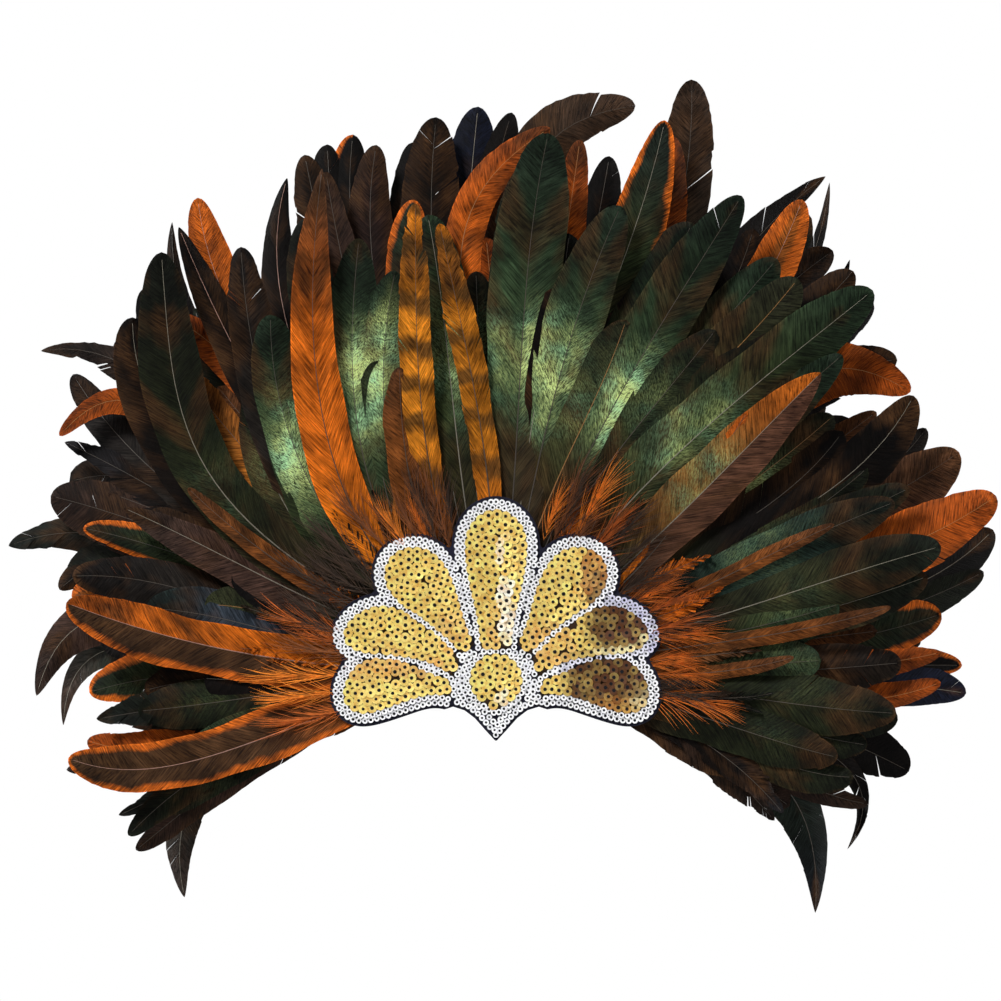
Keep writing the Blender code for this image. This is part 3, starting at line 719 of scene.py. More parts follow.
@dataclass(frozen=True)
class VaneFinish:
    """The web of a feather: fine barbs, a satin gloss and a painted green sheen, with painted shade in its
    creases and a painted highlight along its edge.

    Attributes:
        mint: Colour of the painted sheen, a highlight mixed into the base colour.
        painted_sheen_lime: The painted sheen's colour where it turns yellow.
        bar: Colour of the dark bars.
        bronze: What the dyes turn to in patches.
        depth: How deep the dyes are laid, 1 being as listed.
        roughness: Roughness of a plain vane.
        gloss: How much smoother it is under the painted sheen.
        barbs: Noise of the single barbs.
        flecks: Noise of the painted sheen's flecks.
        swathes: Noise of light and dark stretches along the feather.
        crease_shade_web: Noise of the creases where barbs part, which are darkened as painted shade.
        patches: Noise of the bronze patches.
        clouds: Noise over the whole fan that blurs where the dyes meet.
        glints: Noise over the whole fan that breaks up the painted sheen.
    """

    mint: Colour = (0.42, 0.74, 0.38)
    painted_sheen_lime: Colour = (0.60, 0.74, 0.27)
    bar: Colour = (0.075, 0.036, 0.010)
    bronze: Colour = (0.050, 0.022, 0.008)
    depth: float = 0.72
    roughness: float = 0.52
    gloss: float = 0.14
    barbs: Web = (1.35, 1.4, 3.0, 0.70)
    flecks: Web = (1.2, 11.0, 3.0, 0.70)
    swathes: Web = (0.25, 0.8, 2.0, 0.5)
    crease_shade_web: Web = (0.50, 2.4, 4.0, 0.62)
    patches: Web = (0.028, 0.5, 3.0, 0.5)
    clouds: Grain = (70.0, 3.0, 0.5)
    glints: Grain = (55.0, 2.0, 0.5)

    def material(self) -> bpy.types.Material:
        """The vane's material.

        Returns:
            A material that reads the dyes and the barbs' own map.
        """
        shader = Shader("feather_vane")
        barbs = shader.add("ShaderNodeUVMap", uv_map="barbs").outputs[0]
        along, outwards, _ = shader.add("ShaderNodeSeparateXYZ", {0: barbs}).outputs
        barb = self.web(shader, along, outwards, self.barbs)
        cloud = shader.noise(shader.object_place(), self.clouds)
        # Painted shade: the vane is darkened where its barbs part, and the painted sheen is kept out there.
        crease_shade = shader.mapped(self.web(shader, along, outwards, self.crease_shade_web), (0.34, 0.46, 0.42, 1.0))
        bronzing = shader.mapped(self.web(shader, along, outwards, self.patches), (0.47, 0.65, 0.0, 0.78))
        dye = shader.mixed(bronzing, shader.attribute("dye").outputs["Color"], self.bronze)
        colour = shader.mixed(
            self.rim(shader, outwards, barb, cloud), dye, shader.attribute("edge_dye").outputs["Color"]
        )
        bars = shader.attribute("bars").outputs["Fac"]
        barred = shader.math("ADD", bars, shader.mapped(cloud, (0.3, 0.7, -0.3, 0.3)))
        colour = shader.mixed(shader.mapped(barred, (0.45, 0.90, 0.0, 0.85)), colour, self.bar)
        # The tone: light and dark barb streaks, partly the barbs' own and partly painted shade between them,
        # random clouds and swathes, a painted highlight along the vane's outer edge, the creases' painted
        # shade and the dyes' depth.
        tone = shader.product(
            shader.mapped(barb, (0.33, 0.67, 0.16, 1.95)),
            shader.mapped(cloud, (0.30, 0.70, 0.50, 1.50)),
            shader.mapped(self.web(shader, along, outwards, self.swathes), (0.3, 0.7, 0.80, 1.22)),
            shader.mapped(outwards, (0.92, 1.0, 1.0, 1.45)),
            crease_shade,
            self.depth,
        )
        # Painted sheen: a green highlight from the mesh's strength of it, broken up by flecks, barbs and
        # glints, mixed into the base colour whatever the light.
        painted_sheen_share = shader.product(
            shader.attribute("mint").outputs["Fac"],
            shader.mapped(self.web(shader, along, outwards, self.flecks), (0.43, 0.56, 0.10, 1.0)),
            shader.mapped(barb, (0.36, 0.54, 0.45, 1.0)),
            shader.mapped(shader.noise(shader.object_place(), self.glints), (0.38, 0.62, 0.35, 1.25)),
            shader.mapped(crease_shade, (0.42, 1.0, 0.40, 1.0)),
        )
        painted_sheen_colour = shader.mixed(shader.mapped(cloud, (0.38, 0.58, 0.0, 1.0)), self.mint, self.painted_sheen_lime)
        return shader.finish({
            "Base Color": shader.mixed(painted_sheen_share, shader.shaded(colour, tone), painted_sheen_colour),
            "Roughness": shader.mapped(painted_sheen_share, (0.0, 1.0, self.roughness, self.roughness - self.gloss)),
            "Normal": shader.bump(barb, 0.75, 0.0006),
            "Specular IOR Level": 0.06,
        })

    @staticmethod
    def rim(shader: Shader, outwards: Any, barb: Any, cloud: Any) -> bpy.types.NodeSocket:
        """Where the rim's dye shows, with a torn inner edge.

        Args:
            shader: The vane's shader.
            outwards: The share of the way out from the quill.
            barb: The noise of the barbs.
            cloud: The noise over the fan.

        Returns:
            A share of the rim's dye.
        """
        torn = shader.math("ADD", outwards, shader.mapped(cloud, (0.25, 0.75, -0.14, 0.14)))
        torn = shader.math("ADD", torn, shader.mapped(barb, (0.3, 0.7, -0.05, 0.05)))
        past = shader.math("SUBTRACT", torn, shader.attribute("rim_start").outputs["Fac"])
        return shader.mapped(past, (-0.09, 0.09, 0.0, 1.0))

    @staticmethod
    def web(shader: Shader, along: Any, outwards: Any, noise: Web) -> bpy.types.NodeSocket:
        """A noise laid along the quill and out along the barbs.

        Args:
            shader: The vane's shader.
            along: Millimetres along the quill.
            outwards: The share of the way out from it.
            noise: The noise.

        Returns:
            Its value, between 0 and 1.
        """
        rate, spread, detail, roughness = noise
        scaled = {0: shader.math("MULTIPLY", along, rate), 1: shader.math("MULTIPLY", outwards, spread)}
        place = shader.add("ShaderNodeCombineXYZ", scaled).outputs[0]
        return shader.noise(place, (1.0, detail, roughness))


@dataclass(frozen=True)
class QuillFinish:
    """The horn of a quill.

    Attributes:
        roughness: Its roughness.
        grain: Noise of its grain.
    """

    roughness: float = 0.38
    grain: Grain = (900.0, 2.0, 0.5)

    def material(self) -> bpy.types.Material:
        """The quill's material.

        Returns:
            A material that reads the quill's dye.
        """
        shader = Shader("quill_horn")
        grain = shader.noise(shader.object_place(), self.grain)
        dye = shader.attribute("dye").outputs["Color"]
        return shader.finish({
            "Base Color": shader.shaded(dye, shader.mapped(grain, (0.3, 0.7, 0.75, 1.2))),
            "Roughness": self.roughness,
            "Normal": shader.bump(grain, 0.2, 0.0002),
        })


@dataclass(frozen=True)
class ClothFinish:
    """A matt cloth: felt, tape, webbing or thread.

    Attributes:
        name: The material's name.
        colour: Its colour.
        fibre: How fine its fibres are, in features for each metre.
        roughness: Its roughness.
        depth: Height of the fibres in metres.
        fading: How many fibres wide a faded patch is.
    """

    name: str
    colour: Colour
    fibre: float
    roughness: float
    depth: float
    fading: float = 30.0

    def material(self) -> bpy.types.Material:
        """The cloth's material.

        Returns:
            A material of matted fibres, a little faded.
        """
        shader = Shader(self.name)
        place = shader.object_place()
        fibre = shader.noise(place, (self.fibre, 4.0, 0.7))
        faded = shader.noise(place, (self.fibre / self.fading, 2.0, 0.5))
        tone = shader.product(
            shader.mapped(fibre, (0.3, 0.7, 0.5, 1.7)), shader.mapped(faded, (0.3, 0.7, 0.8, 1.25))
        )
        return shader.finish({
            "Base Color": shader.shaded(self.colour, tone),
            "Roughness": shader.mapped(fibre, (0.2, 0.8, self.roughness, self.roughness - 0.1)),
            "Normal": shader.bump(fibre, 0.7, self.depth),
            "Specular IOR Level": 0.12,
            "Sheen Weight": 0.10,
        })


@dataclass(frozen=True)
class SequinFinish:
    """Metallised film, tinted by each sequin's colour, which carries painted light and shade.

    Attributes:
        name: The material's name.
        shade: What its colour is multiplied by where it turns from the light.
        metallic: How metallic the film is.
        roughness: Its roughness.
        marks: Noise of its handling marks.
        creases: Noise of the places that turn from the light.
    """

    name: str
    shade: Colour
    metallic: float
    roughness: float = 0.32
    marks: Grain = (1400.0, 3.0, 0.6)
    creases: Grain = (420.0, 3.0, 0.6)

    def material(self) -> bpy.types.Material:
        """The film's material.

        Returns:
            A material with fine handling marks.
        """
        shader = Shader(self.name)
        marks = shader.noise(shader.object_place(), self.marks)
        creases = shader.mapped(shader.noise(shader.object_place(), self.creases), (0.42, 0.66, 0.0, 0.8))
        film = shader.mixed(creases, shader.attribute("film").outputs["Color"], self.shade, "MULTIPLY")
        return shader.finish({
            "Base Color": shader.shaded(film, shader.mapped(marks, (0.3, 0.7, 0.88, 1.08))),
            "Metallic": self.metallic,
            "Roughness": shader.mapped(marks, (0.3, 0.7, self.roughness - 0.06, self.roughness + 0.10)),
            "Normal": shader.bump(marks, 0.15, 0.0001),
        })


class Sheaf:
    """Many small closed bodies gathered into one mesh, with what each point carries.

    WIDTHS names what a point carries and how many numbers that has. Faces that meet at more
    than CREASE degrees get a sharp edge.
    """

    CREASE = 50.0
    # The sheen value that a point carries is the strength of a painted green highlight.
    WIDTHS = {"barbs": 2, "dye": 3, "edge_dye": 3, "mint": 1, "bars": 1, "rim_start": 1}

    def __init__(self) -> None:
        """Starts empty."""
        self.points: list[np.ndarray] = []
        self.faces: list[tuple[int, ...]] = []
        self.kinds: list[int] = []
        self.values: dict[str, list[np.ndarray]] = {name: [] for name in self.WIDTHS}
        self.count = 0

    def add(self, points: np.ndarray, faces: Iterable[tuple[int, ...]], stuff: Stuff, **values: Any) -> None:
        """Adds a body.

        Args:
            points: Its points in millimetres, one row each.
            faces: Its faces as indices into the points.
            stuff: What it is made of.
            **values: For each value that a point carries, one row for each point or one for all.
        """
        made = [tuple(corner + self.count for corner in face) for face in faces]
        self.points.append(points)
        self.faces.extend(made)
        self.kinds.extend([stuff.value] * len(made))
        for name, width in self.WIDTHS.items():
            given = np.asarray(values.get(name, np.zeros(width)), float)
            self.values[name].append(np.broadcast_to(given.reshape(-1, width), (len(points), width)))
        self.count += len(points)

    def mesh(self, name: str, materials: Sequence[bpy.types.Material]) -> bpy.types.Object:
        """Makes the object.

        Args:
            name: Its name.
            materials: Its materials, in the order of Stuff.

        Returns:
            The object, in the scene and at the origin.
        """
        data = bpy.data.meshes.new(name)
        data.from_pydata((np.concatenate(self.points) * MM).tolist(), [], self.faces)
        for material in materials:
            data.materials.append(material)
        data.polygons.foreach_set("material_index", self.kinds)
        corners = np.empty(len(data.loops), np.int32)
        data.loops.foreach_get("vertex_index", corners)
        values = {value: np.concatenate(rows) for value, rows in self.values.items()}
        barbs = values.pop("barbs")[corners]
        data.uv_layers.new(name="barbs").uv.foreach_set("vector", barbs.astype(np.float32).ravel())
        for value, rows in values.items():
            mark(data, value, "FLOAT_COLOR" if rows.shape[1] == 3 else "FLOAT", rows)
        data.shade_smooth()
        data.set_sharp_from_angle(angle=math.radians(self.CREASE))
        return placed(name, data)


def linked(name: str, points: np.ndarray, faces: Sequence[Sequence[int]]) -> bpy.types.Object:
    """An object from points and faces.

    Args:
        name: Its name.
        points: Its points in millimetres, one row each.
        faces: Its faces, which are turned outwards here. There may be none.

    Returns:
        The object, in the scene and at the origin.
    """
    mesh = bpy.data.meshes.new(name)
    mesh.from_pydata((np.asarray(points, float) * MM).tolist(), [], faces)
    if faces:
        shape = bmesh.new()
        shape.from_mesh(mesh)
        bmesh.ops.recalc_face_normals(shape, faces=shape.faces)
        shape.to_mesh(mesh)
        shape.free()
        mesh.shade_smooth()
        mesh.set_sharp_from_angle(angle=math.radians(40.0))
    return placed(name, mesh)


def lofted(
    name: str, rings: Sequence[np.ndarray], material: bpy.types.Material | None = None, closed: bool = False
) -> bpy.types.Object:
    """A body through rings of equal count.

    Args:
        name: Its name.
        rings: The rings, each with one row of millimetres for each point.
        material: Its material, if it has one.
        closed: Whether it joins into a loop. Otherwise its ends are capped.

    Returns:
        The object, in the scene and at the origin.
    """
    made = linked(name, np.concatenate(rings), tube_faces(len(rings), len(rings[0]), closed))
    if material is not None:
        made.data.materials.append(material)
    return made


def flat_ring(outline: np.ndarray, depth: float) -> np.ndarray:
    """An outline stood upright at a depth."""
    return np.insert(outline, 1, depth, axis=1)


class Places:
    """Marked points where copies of a small shape go, with how each is turned, sized and tinted."""

    def __init__(self, name: str) -> None:
        """Starts empty.

        Args:
            name: The name of the mesh that will carry the points.
        """
        self.name = name
        self.rows: list[tuple[Any, ...]] = []

    def add(
        self, place: Numbers, turn: Numbers, size: float = 1.0, tint: Numbers = (0.0, 0.0, 0.0)
    ) -> None:
        """Marks a point: its place in millimetres, its turns in radians, its size and its tint."""
        self.rows.append((place, turn, size, tint))

    def mesh(self) -> bpy.types.Object:
        """The points.

        Returns:
            An object of loose points that carry their turns, sizes and tints.
        """
        places, turns, sizes, tints = zip(*self.rows)
        made = linked(self.name, np.array(places), [])
        mark(made.data, "turn", "FLOAT_VECTOR", turns)
        mark(made.data, "size", "FLOAT", sizes)
        mark(made.data, "film", "FLOAT_COLOR", tints)
        return made


class Scatter(Graph):
    """A Geometry Nodes group that adds copies of one small shape to a ground mesh."""

    SOCKETS = (
        ("Places", "NodeSocketObject"),
        ("Shape", "NodeSocketObject"),
        ("Tilt", "NodeSocketFloat"),
        ("Seed", "NodeSocketInt"),
        ("Finish", "NodeSocketMaterial"),
    )

    def __init__(self) -> None:
        """Builds the group: the copies are turned, tilted at random, realised and given a material."""
        super().__init__(bpy.data.node_groups.new("scatter", "GeometryNodeTree"))
        interface = self.tree.interface
        interface.new_socket("Geometry", in_out="INPUT", socket_type="NodeSocketGeometry")
        interface.new_socket("Geometry", in_out="OUTPUT", socket_type="NodeSocketGeometry")
        self.sockets = {
            name: interface.new_socket(name, in_out="INPUT", socket_type=kind).identifier
            for name, kind in self.SOCKETS
        }
        given = self.add("NodeGroupInput").outputs
        places, shape = (
            self.add("GeometryNodeObjectInfo", {"Object": given[name]}).outputs["Geometry"]
            for name in ("Places", "Shape")
        )
        turn, size = (
            self.add("GeometryNodeInputNamedAttribute", {"Name": name}, data_type=kind).outputs[0]
            for name, kind in (("turn", "FLOAT_VECTOR"), ("size", "FLOAT"))
        )
        chance = self.add("FunctionNodeRandomValue", {"Seed": given["Seed"]}, data_type="FLOAT_VECTOR")
        for index, most in enumerate((self.math("MULTIPLY", given["Tilt"], -1.0), given["Tilt"])):
            bound = self.add("ShaderNodeCombineXYZ", {0: most, 1: 0.0, 2: most}).outputs[0]
            self.tree.links.new(bound, chance.inputs[index])
        turned = self.add("ShaderNodeVectorMath", {0: turn, 1: chance.outputs[0]}, operation="ADD").outputs[0]
        copies = self.add(
            "GeometryNodeInstanceOnPoints",
            {"Points": places, "Instance": shape, "Rotation": turned, "Scale": size},
        ).outputs[0]
        real = self.add("GeometryNodeRealizeInstances", {0: copies}).outputs[0]
        finished = {"Geometry": real, "Material": given["Finish"]}
        dressed = self.add("GeometryNodeSetMaterial", finished).outputs[0]
        joined = self.add("GeometryNodeJoinGeometry")
        for part in (dressed, given["Geometry"]):
            self.tree.links.new(part, joined.inputs[0])
        self.add("NodeGroupOutput", {0: joined.outputs[0]})

    def dress(
        self,
        ground: bpy.types.Object,
        places: Places,
        shape: bpy.types.Object,
        finish: bpy.types.Material,
        tilt: float = 0.0,
        seed: int = SEED,
    ) -> None:
        """Adds copies of a shape to a ground mesh, as real faces.

        Args:
            ground: The mesh that gets them.
            places: Where they go.
            shape: What is copied, round its own origin. It stays for other calls.
            finish: The copies' material.
            tilt: The most that chance tilts a copy, in degrees.
            seed: The seed of that chance.
        """
        marks = places.mesh()
        modifier = ground.modifiers.new("scatter", "NODES")
        modifier.node_group = self.tree
        values = (marks, shape, math.radians(tilt), seed, finish)
        for (name, _), value in zip(self.SOCKETS, values):
            modifier[self.sockets[name]] = value
        graph = bpy.context.evaluated_depsgraph_get()
        made = bpy.data.meshes.new_from_object(
            ground.evaluated_get(graph), preserve_all_data_layers=True, depsgraph=graph
        )
        ground.modifiers.clear()
        plain = ground.data
        ground.data = made
        bpy.data.meshes.remove(plain)
        remove(marks)


def remove(*helpers: bpy.types.Object) -> None:
    """Takes helper objects out of the file."""
    for helper in helpers:
        bpy.data.objects.remove(helper, do_unlink=True)


def declare(piece: bpy.types.Object, node: str) -> None:
    """Attaches a piece to the body, hides the CAD node that it stands for, and reports its faces.

    Args:
        piece: The piece.
        node: The CAD node that it stands for.
    """
    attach(piece, BODY)
    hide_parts(node)
    LOG.info("%s: %d faces", piece.name, len(piece.data.polygons))


@dataclass(frozen=True)
class RowSurface:
    """The curved surface that each row of feathers lies on.

    Attributes:
        first_row: Depth of the back row's quills.
        pitch: Depth from one row to the next.
        rows: How many rows there are.
        held_radius: How far out the rows are held flat.
        softness: How gently they bend past it.
        back_slope: Lean of the back row, away from the face.
        front_slope: Lean of the front row.
    """

    first_row: float
    pitch: float = 2.3
    rows: int = 6
    held_radius: float = 88.0
    softness: float = 60.0
    back_slope: float = 0.34
    front_slope: float = -0.26

    @property
    def front_row(self) -> int:
        """The number of the row nearest the front."""
        return self.rows - 1

    def depth(self, row: int, across: Any, up: Any) -> Any:
        """The depth of a row.

        Args:
            row: Its number, from 0 at the back.
            across: A place's distance across, or many.
            up: Its height.

        Returns:
            The depth there.
        """
        slope = self.back_slope + (self.front_slope - self.back_slope) * row / self.front_row
        free = self.free(across, up)
        return self.first_row - row * self.pitch + slope * free * free / (free + self.softness)

    def free(self, across: Any, up: Any) -> Any:
        """How far a place lies past the held stretch."""
        return np.maximum(0.0, np.hypot(across, up) - self.held_radius)


def wedge_faces(lines: int, steps: int) -> list[tuple[int, ...]]:
    """The faces of a thin wedge, whose front and back meet along its outer edge.

    Args:
        lines: How many rows of points run outwards.
        steps: How many points a row has in front. The back shares the last one.

    Returns:
        The faces, as indices into the front's points and then the back's own.
    """
    front = np.arange(lines * steps).reshape(lines, steps)
    own = lines * steps + np.arange(lines * (steps - 1)).reshape(lines, steps - 1)
    back = np.column_stack([own, front[:, -1]])
    skins = (
        (front[:-1, 0], front[1:, 0], back[1:, 0], back[:-1, 0]),
        (front[:-1, :-1], front[:-1, 1:], front[1:, 1:], front[1:, :-1]),
        (back[1:, :-1], back[1:, 1:], back[:-1, 1:], back[:-1, :-1]),
        (front[0, :-1], back[0, :-1], back[0, 1:], front[0, 1:]),
        (front[-1, :-1], front[-1, 1:], back[-1, 1:], back[-1, :-1]),
    )
    corners = np.concatenate([np.stack(skin, axis=-1).reshape(-1, 4) for skin in skins])
    return [tuple(dict.fromkeys(face)) for face in corners.tolist()]


class Lock(NamedTuple):
    """A lock of barbs, with its points by barb and then outwards.

    Its side and colouring, the places and depths of its points, how far along the feather each
    lies, and where each barb leaves the quill, both as shares of the quill's length.
    """

    side: Side
    look: VaneLook
    place: np.ndarray
    depth: np.ndarray
    along: np.ndarray
    roots: np.ndarray


@dataclass
class Plume:
    """One feather: a tapered quill with a vane of barbs on each side.

    Attributes:
        feather: Its row of the table.
        row: Its row of the fan.
        surface: What the row lies on.
        lift: How far its tip stands off the row's surface.
        seed: What its own irregularities start from.
        barbs: How many lines of barbs each side has.
        across: Places of the points along a barb, as shares of the way out.
        quill_start: How far from the frame's origin the quill starts.
        quill_end: Where it ends, as a share of its length.
        quill_sides: How many sides it has.
        quill_stations: How many rings of points it has.
        quill_radius: Its radius at the root.
        quill_tip_radius: Its radius at the tip.
        vane_start: Where the first barb leaves the quill, as a share of its length.
        vane_end: Where the last one does.
        barb_angle: Angle between the first barbs and the quill.
        widest: Where the vane has its full width, as a share of its length.
        root_width: Its width where it starts, as a share of its full width.
        thickness: Its thickness at the quill.
        camber: How far its edges bend back, as a share of the half width.
        roll: How far it is turned round the quill.
        sag: The most that chance bows the feather, as a share of its reach.
        bar_length: Distance from one dark bar to the next.
        map_step: How far apart the barbs' maps of two seeds are.
    """

    feather: Feather
    row: int
    surface: RowSurface
    lift: float
    seed: int
    barbs: int = 60
    across: tuple[float, ...] = (0.0, 0.25, 0.52, 0.78, 1.0)
    quill_start: float = 46.0
    quill_end: float = 0.985
    quill_sides: int = 6
    quill_stations: int = 26
    quill_radius: float = 0.42
    quill_tip_radius: float = 0.10
    vane_start: float = 0.02
    vane_end: float = 0.975
    barb_angle: float = 34.0
    widest: float = 0.42
    root_width: float = 0.30
    thickness: float = 0.28
    camber: float = 0.16
    roll: float = 4.0
    sag: float = 0.045
    bar_length: float = 23.0
    map_step: float = 7.0

    def __post_init__(self) -> None:
        """Works out the quill's control points, and what chance gives this feather."""
        feather = self.feather
        root, aim = direction(feather.root), direction(feather.aim)
        root_handle, tip_handle = (0.60, 0.38) if feather.hooked else (0.38, 0.32)
        self.chance = np.random.default_rng([SEED, self.seed])
        start = root * self.quill_start
        tip = np.array((feather.tip_across, feather.tip_up), float)
        reach = float(np.linalg.norm(tip - start))
        sag = self.sag * reach * self.chance.uniform(-1.0, 1.0) * np.array((aim[1], -aim[0]))
        leave = start + root * root_handle * reach
        arrive = tip - aim * tip_handle * reach + sag
        self.pulls = np.array((start, leave, arrive, tip))
        stations = self.spine(np.linspace(0.0, 1.0, 41))[0]
        self.length = float(np.linalg.norm(np.diff(stations, axis=0), axis=1).sum())
        self.wave = self.chance.uniform(-1.0, 1.0, 3)
        # Where this feather's painted sheen lies: the radius and width of its ring, and its stronger side.
        self.sheen_radius = self.chance.uniform(138.0, 166.0)
        self.sheen_width = self.chance.uniform(20.0, 32.0)
        self.sheen_side = Side(int(self.chance.choice((-1, 1))))
        self.fullness = self.chance.uniform(0.88, 1.12)
        self.tone = self.chance.uniform(0.72, 1.25)
        self.bluntness = self.chance.uniform(-0.5, 1.2)
        self.ripple = self.chance.uniform(0.0, 2 * math.pi, (2, 2))

    def spine(self, shares: np.ndarray) -> tuple[np.ndarray, np.ndarray]:
        """Points of the quill and its unit directions there.

        Args:
            shares: Shares of the quill's length, in any shape.

        Returns:
            The places and the directions, with across and up last.
        """
        share = np.asarray(shares, float)[..., None]
        left = 1.0 - share
        start, leave, arrive, tip = self.pulls
        place = left**3 * start + 3 * left**2 * share * leave + 3 * left * share**2 * arrive + share**3 * tip
        heading = left**2 * (leave - start) + 2 * left * share * (arrive - leave) + share**2 * (tip - arrive)
        return place, heading / np.linalg.norm(heading, axis=-1, keepdims=True)

    def half_width(self, shares: np.ndarray, point: float, side: Side) -> np.ndarray:
        """Half the feather's width along its length.

        Args:
            shares: Shares of the quill's length.
            point: How pointed its tip is.
            side: The side.

        Returns:
            The half widths.
        """
        rise = np.clip(shares / self.widest, 0.0, 1.0)
        start = 0.64 - 0.14 * point
        fall = np.clip((shares - start) / (1.0 - start), 0.0, 1.0)
        swell = self.root_width + (1.0 - self.root_width) * rise * (2.0 - rise)
        taper = (1.0 - fall ** (2.9 + self.bluntness - 1.5 * point)) ** (0.5 + 0.35 * point)
        slow, quick = self.ripple[0 if side is Side.LEFT else 1]
        ripple = 0.06 * np.sin(9.0 * shares + slow) + 0.03 * np.sin(27.0 * shares + quick)
        wobble = 1.0 + ripple * (1.0 - fall)
        return 0.55 * self.feather.width * np.where(shares < self.widest, swell, taper) * wobble

    def depth(self, place: np.ndarray, side: Side, reach: np.ndarray, half: np.ndarray) -> np.ndarray:
        """The depth of a point of the vane.

        Args:
            place: Places, with across and up last.
            side: Their side of the quill.
            reach: How far each place lies from the quill.
            half: The half width there.

        Returns:
            The depths.
        """
        across, up = place[..., 0], place[..., 1]
        free = self.surface.free(across, up)
        loose = np.minimum(1.0, free / 50.0)
        bend = self.camber * reach * reach / np.maximum(half, 1.0) * loose
        turned = side * reach * math.tan(math.radians(self.roll)) * loose
        sway = self.wave[0] * 1.6 * np.sin(free / 38.0 + 3.0 * self.wave[1]) * loose
        stand = self.lift * (0.12 + free / 90.0)
        return self.surface.depth(self.row, across, up) + bend + turned + sway + stand

    def add_to(self, sheaf: Sheaf) -> None:
        """Adds the quill and both vanes.

        Args:
            sheaf: What they are added to.
        """
        self.add_quill(sheaf)
        self.add_vane(sheaf, Side.LEFT, self.feather.look.value)
        self.add_vane(sheaf, Side.RIGHT, (self.feather.right_look or self.feather.look).value)

    def add_quill(self, sheaf: Sheaf) -> None:
        """Adds the quill: a thin tapered tube that ends in a point.

        Args:
            sheaf: What it is added to.
        """
        shares = np.linspace(0.0, self.quill_end, self.quill_stations)
        place, heading = self.spine(shares)
        normal = np.stack([heading[:, 1], -heading[:, 0]], axis=1)
        radius = self.quill_tip_radius + (self.quill_radius - self.quill_tip_radius) * (1.0 - shares) ** 1.3
        middle = self.depth(place, Side.RIGHT, np.zeros(len(shares)), np.ones(len(shares)))
        angles = np.arange(self.quill_sides) * 2 * math.pi / self.quill_sides
        rings = np.empty((len(shares), self.quill_sides, 3))
        rings[:, :, 0] = place[:, :1] + normal[:, :1] * radius[:, None] * np.cos(angles)
        rings[:, :, 2] = place[:, 1:] + normal[:, 1:] * radius[:, None] * np.cos(angles)
        rings[:, :, 1] = middle[:, None] - 0.1 - radius[:, None] * np.sin(angles)
        faces = tube_faces(self.quill_stations, self.quill_sides)
        fading = np.repeat(0.75 + 0.45 * shares, self.quill_sides)[:, None]
        dye = np.array(self.feather.look.value.quill) * fading
        sheaf.add(rings.reshape(-1, 3), faces, Stuff.QUILL, dye=dye)

    def add_vane(self, sheaf: Sheaf, side: Side, look: VaneLook) -> None:
        """Adds one vane, as locks of barbs that part where it is split.

        Args:
            sheaf: What it is added to.
            side: Its side of the quill.
            look: Its colouring.
        """
        chance = self.chance
        lines = 1.0 - (1.0 - np.linspace(0.0, 1.0, self.barbs + 1)) ** 1.3
        lead = self.feather.width / 2 / math.tan(math.radians(self.barb_angle)) / self.length
        roots = self.vane_start + (self.vane_end - self.vane_start) * lines
        edges = self.vane_start + lead + (1.0 - self.vane_start - lead) * lines**0.9
        uneven = look.fray * (0.5 + smooth(lines, 0.6, 0.95)) * np.minimum(1.0, 12.0 * (1.0 - lines))
        inner = np.arange(4, self.barbs - 3)
        cuts = np.sort(chance.choice(inner, min(look.splits, len(inner)), replace=False))
        starts = [0, *cuts.tolist(), self.barbs]
        out = np.array(self.across)
        for first, last in zip(starts[:-1], starts[1:]):
            index = np.arange(first, last + 1)
            shift = chance.uniform(-0.3, 1.0) * min(1.0, 0.2 * (last - first)) * min(look.fray, 0.3) * 0.008
            narrow = np.linspace(1.0, -1.0, len(index)) * (0.0002 + 0.0016 * look.fray)
            ragged = 0.7 * chance.uniform() + 0.3 * chance.uniform(0.0, 1.0, len(index))
            frayed = 1.0 - uneven[index] * ragged
            along = roots[index, None] + (edges - roots)[index, None] * out
            parting = (shift + narrow)[:, None] * out**3
            along = np.minimum(along + parting * np.minimum(1.0, 5.0 * (1.0 - along)), 1.0)
            half = self.half_width(np.minimum(edges[index], 1.0), look.point, side)
            half = half * frayed * self.fullness**side
            reach = half[:, None] * out
            place, heading = self.spine(along)
            normal = np.stack([heading[..., 1], -heading[..., 0]], axis=-1) * side
            place = place + normal * reach[..., None]
            lift = chance.uniform(-1.0, 1.0) * (0.3 + 6.0 * look.fray) * out**2
            depth = self.depth(place, side, reach, np.broadcast_to(half[:, None], reach.shape)) + lift
            self.add_lock(sheaf, Lock(side, look, place, depth, along, roots[index]))

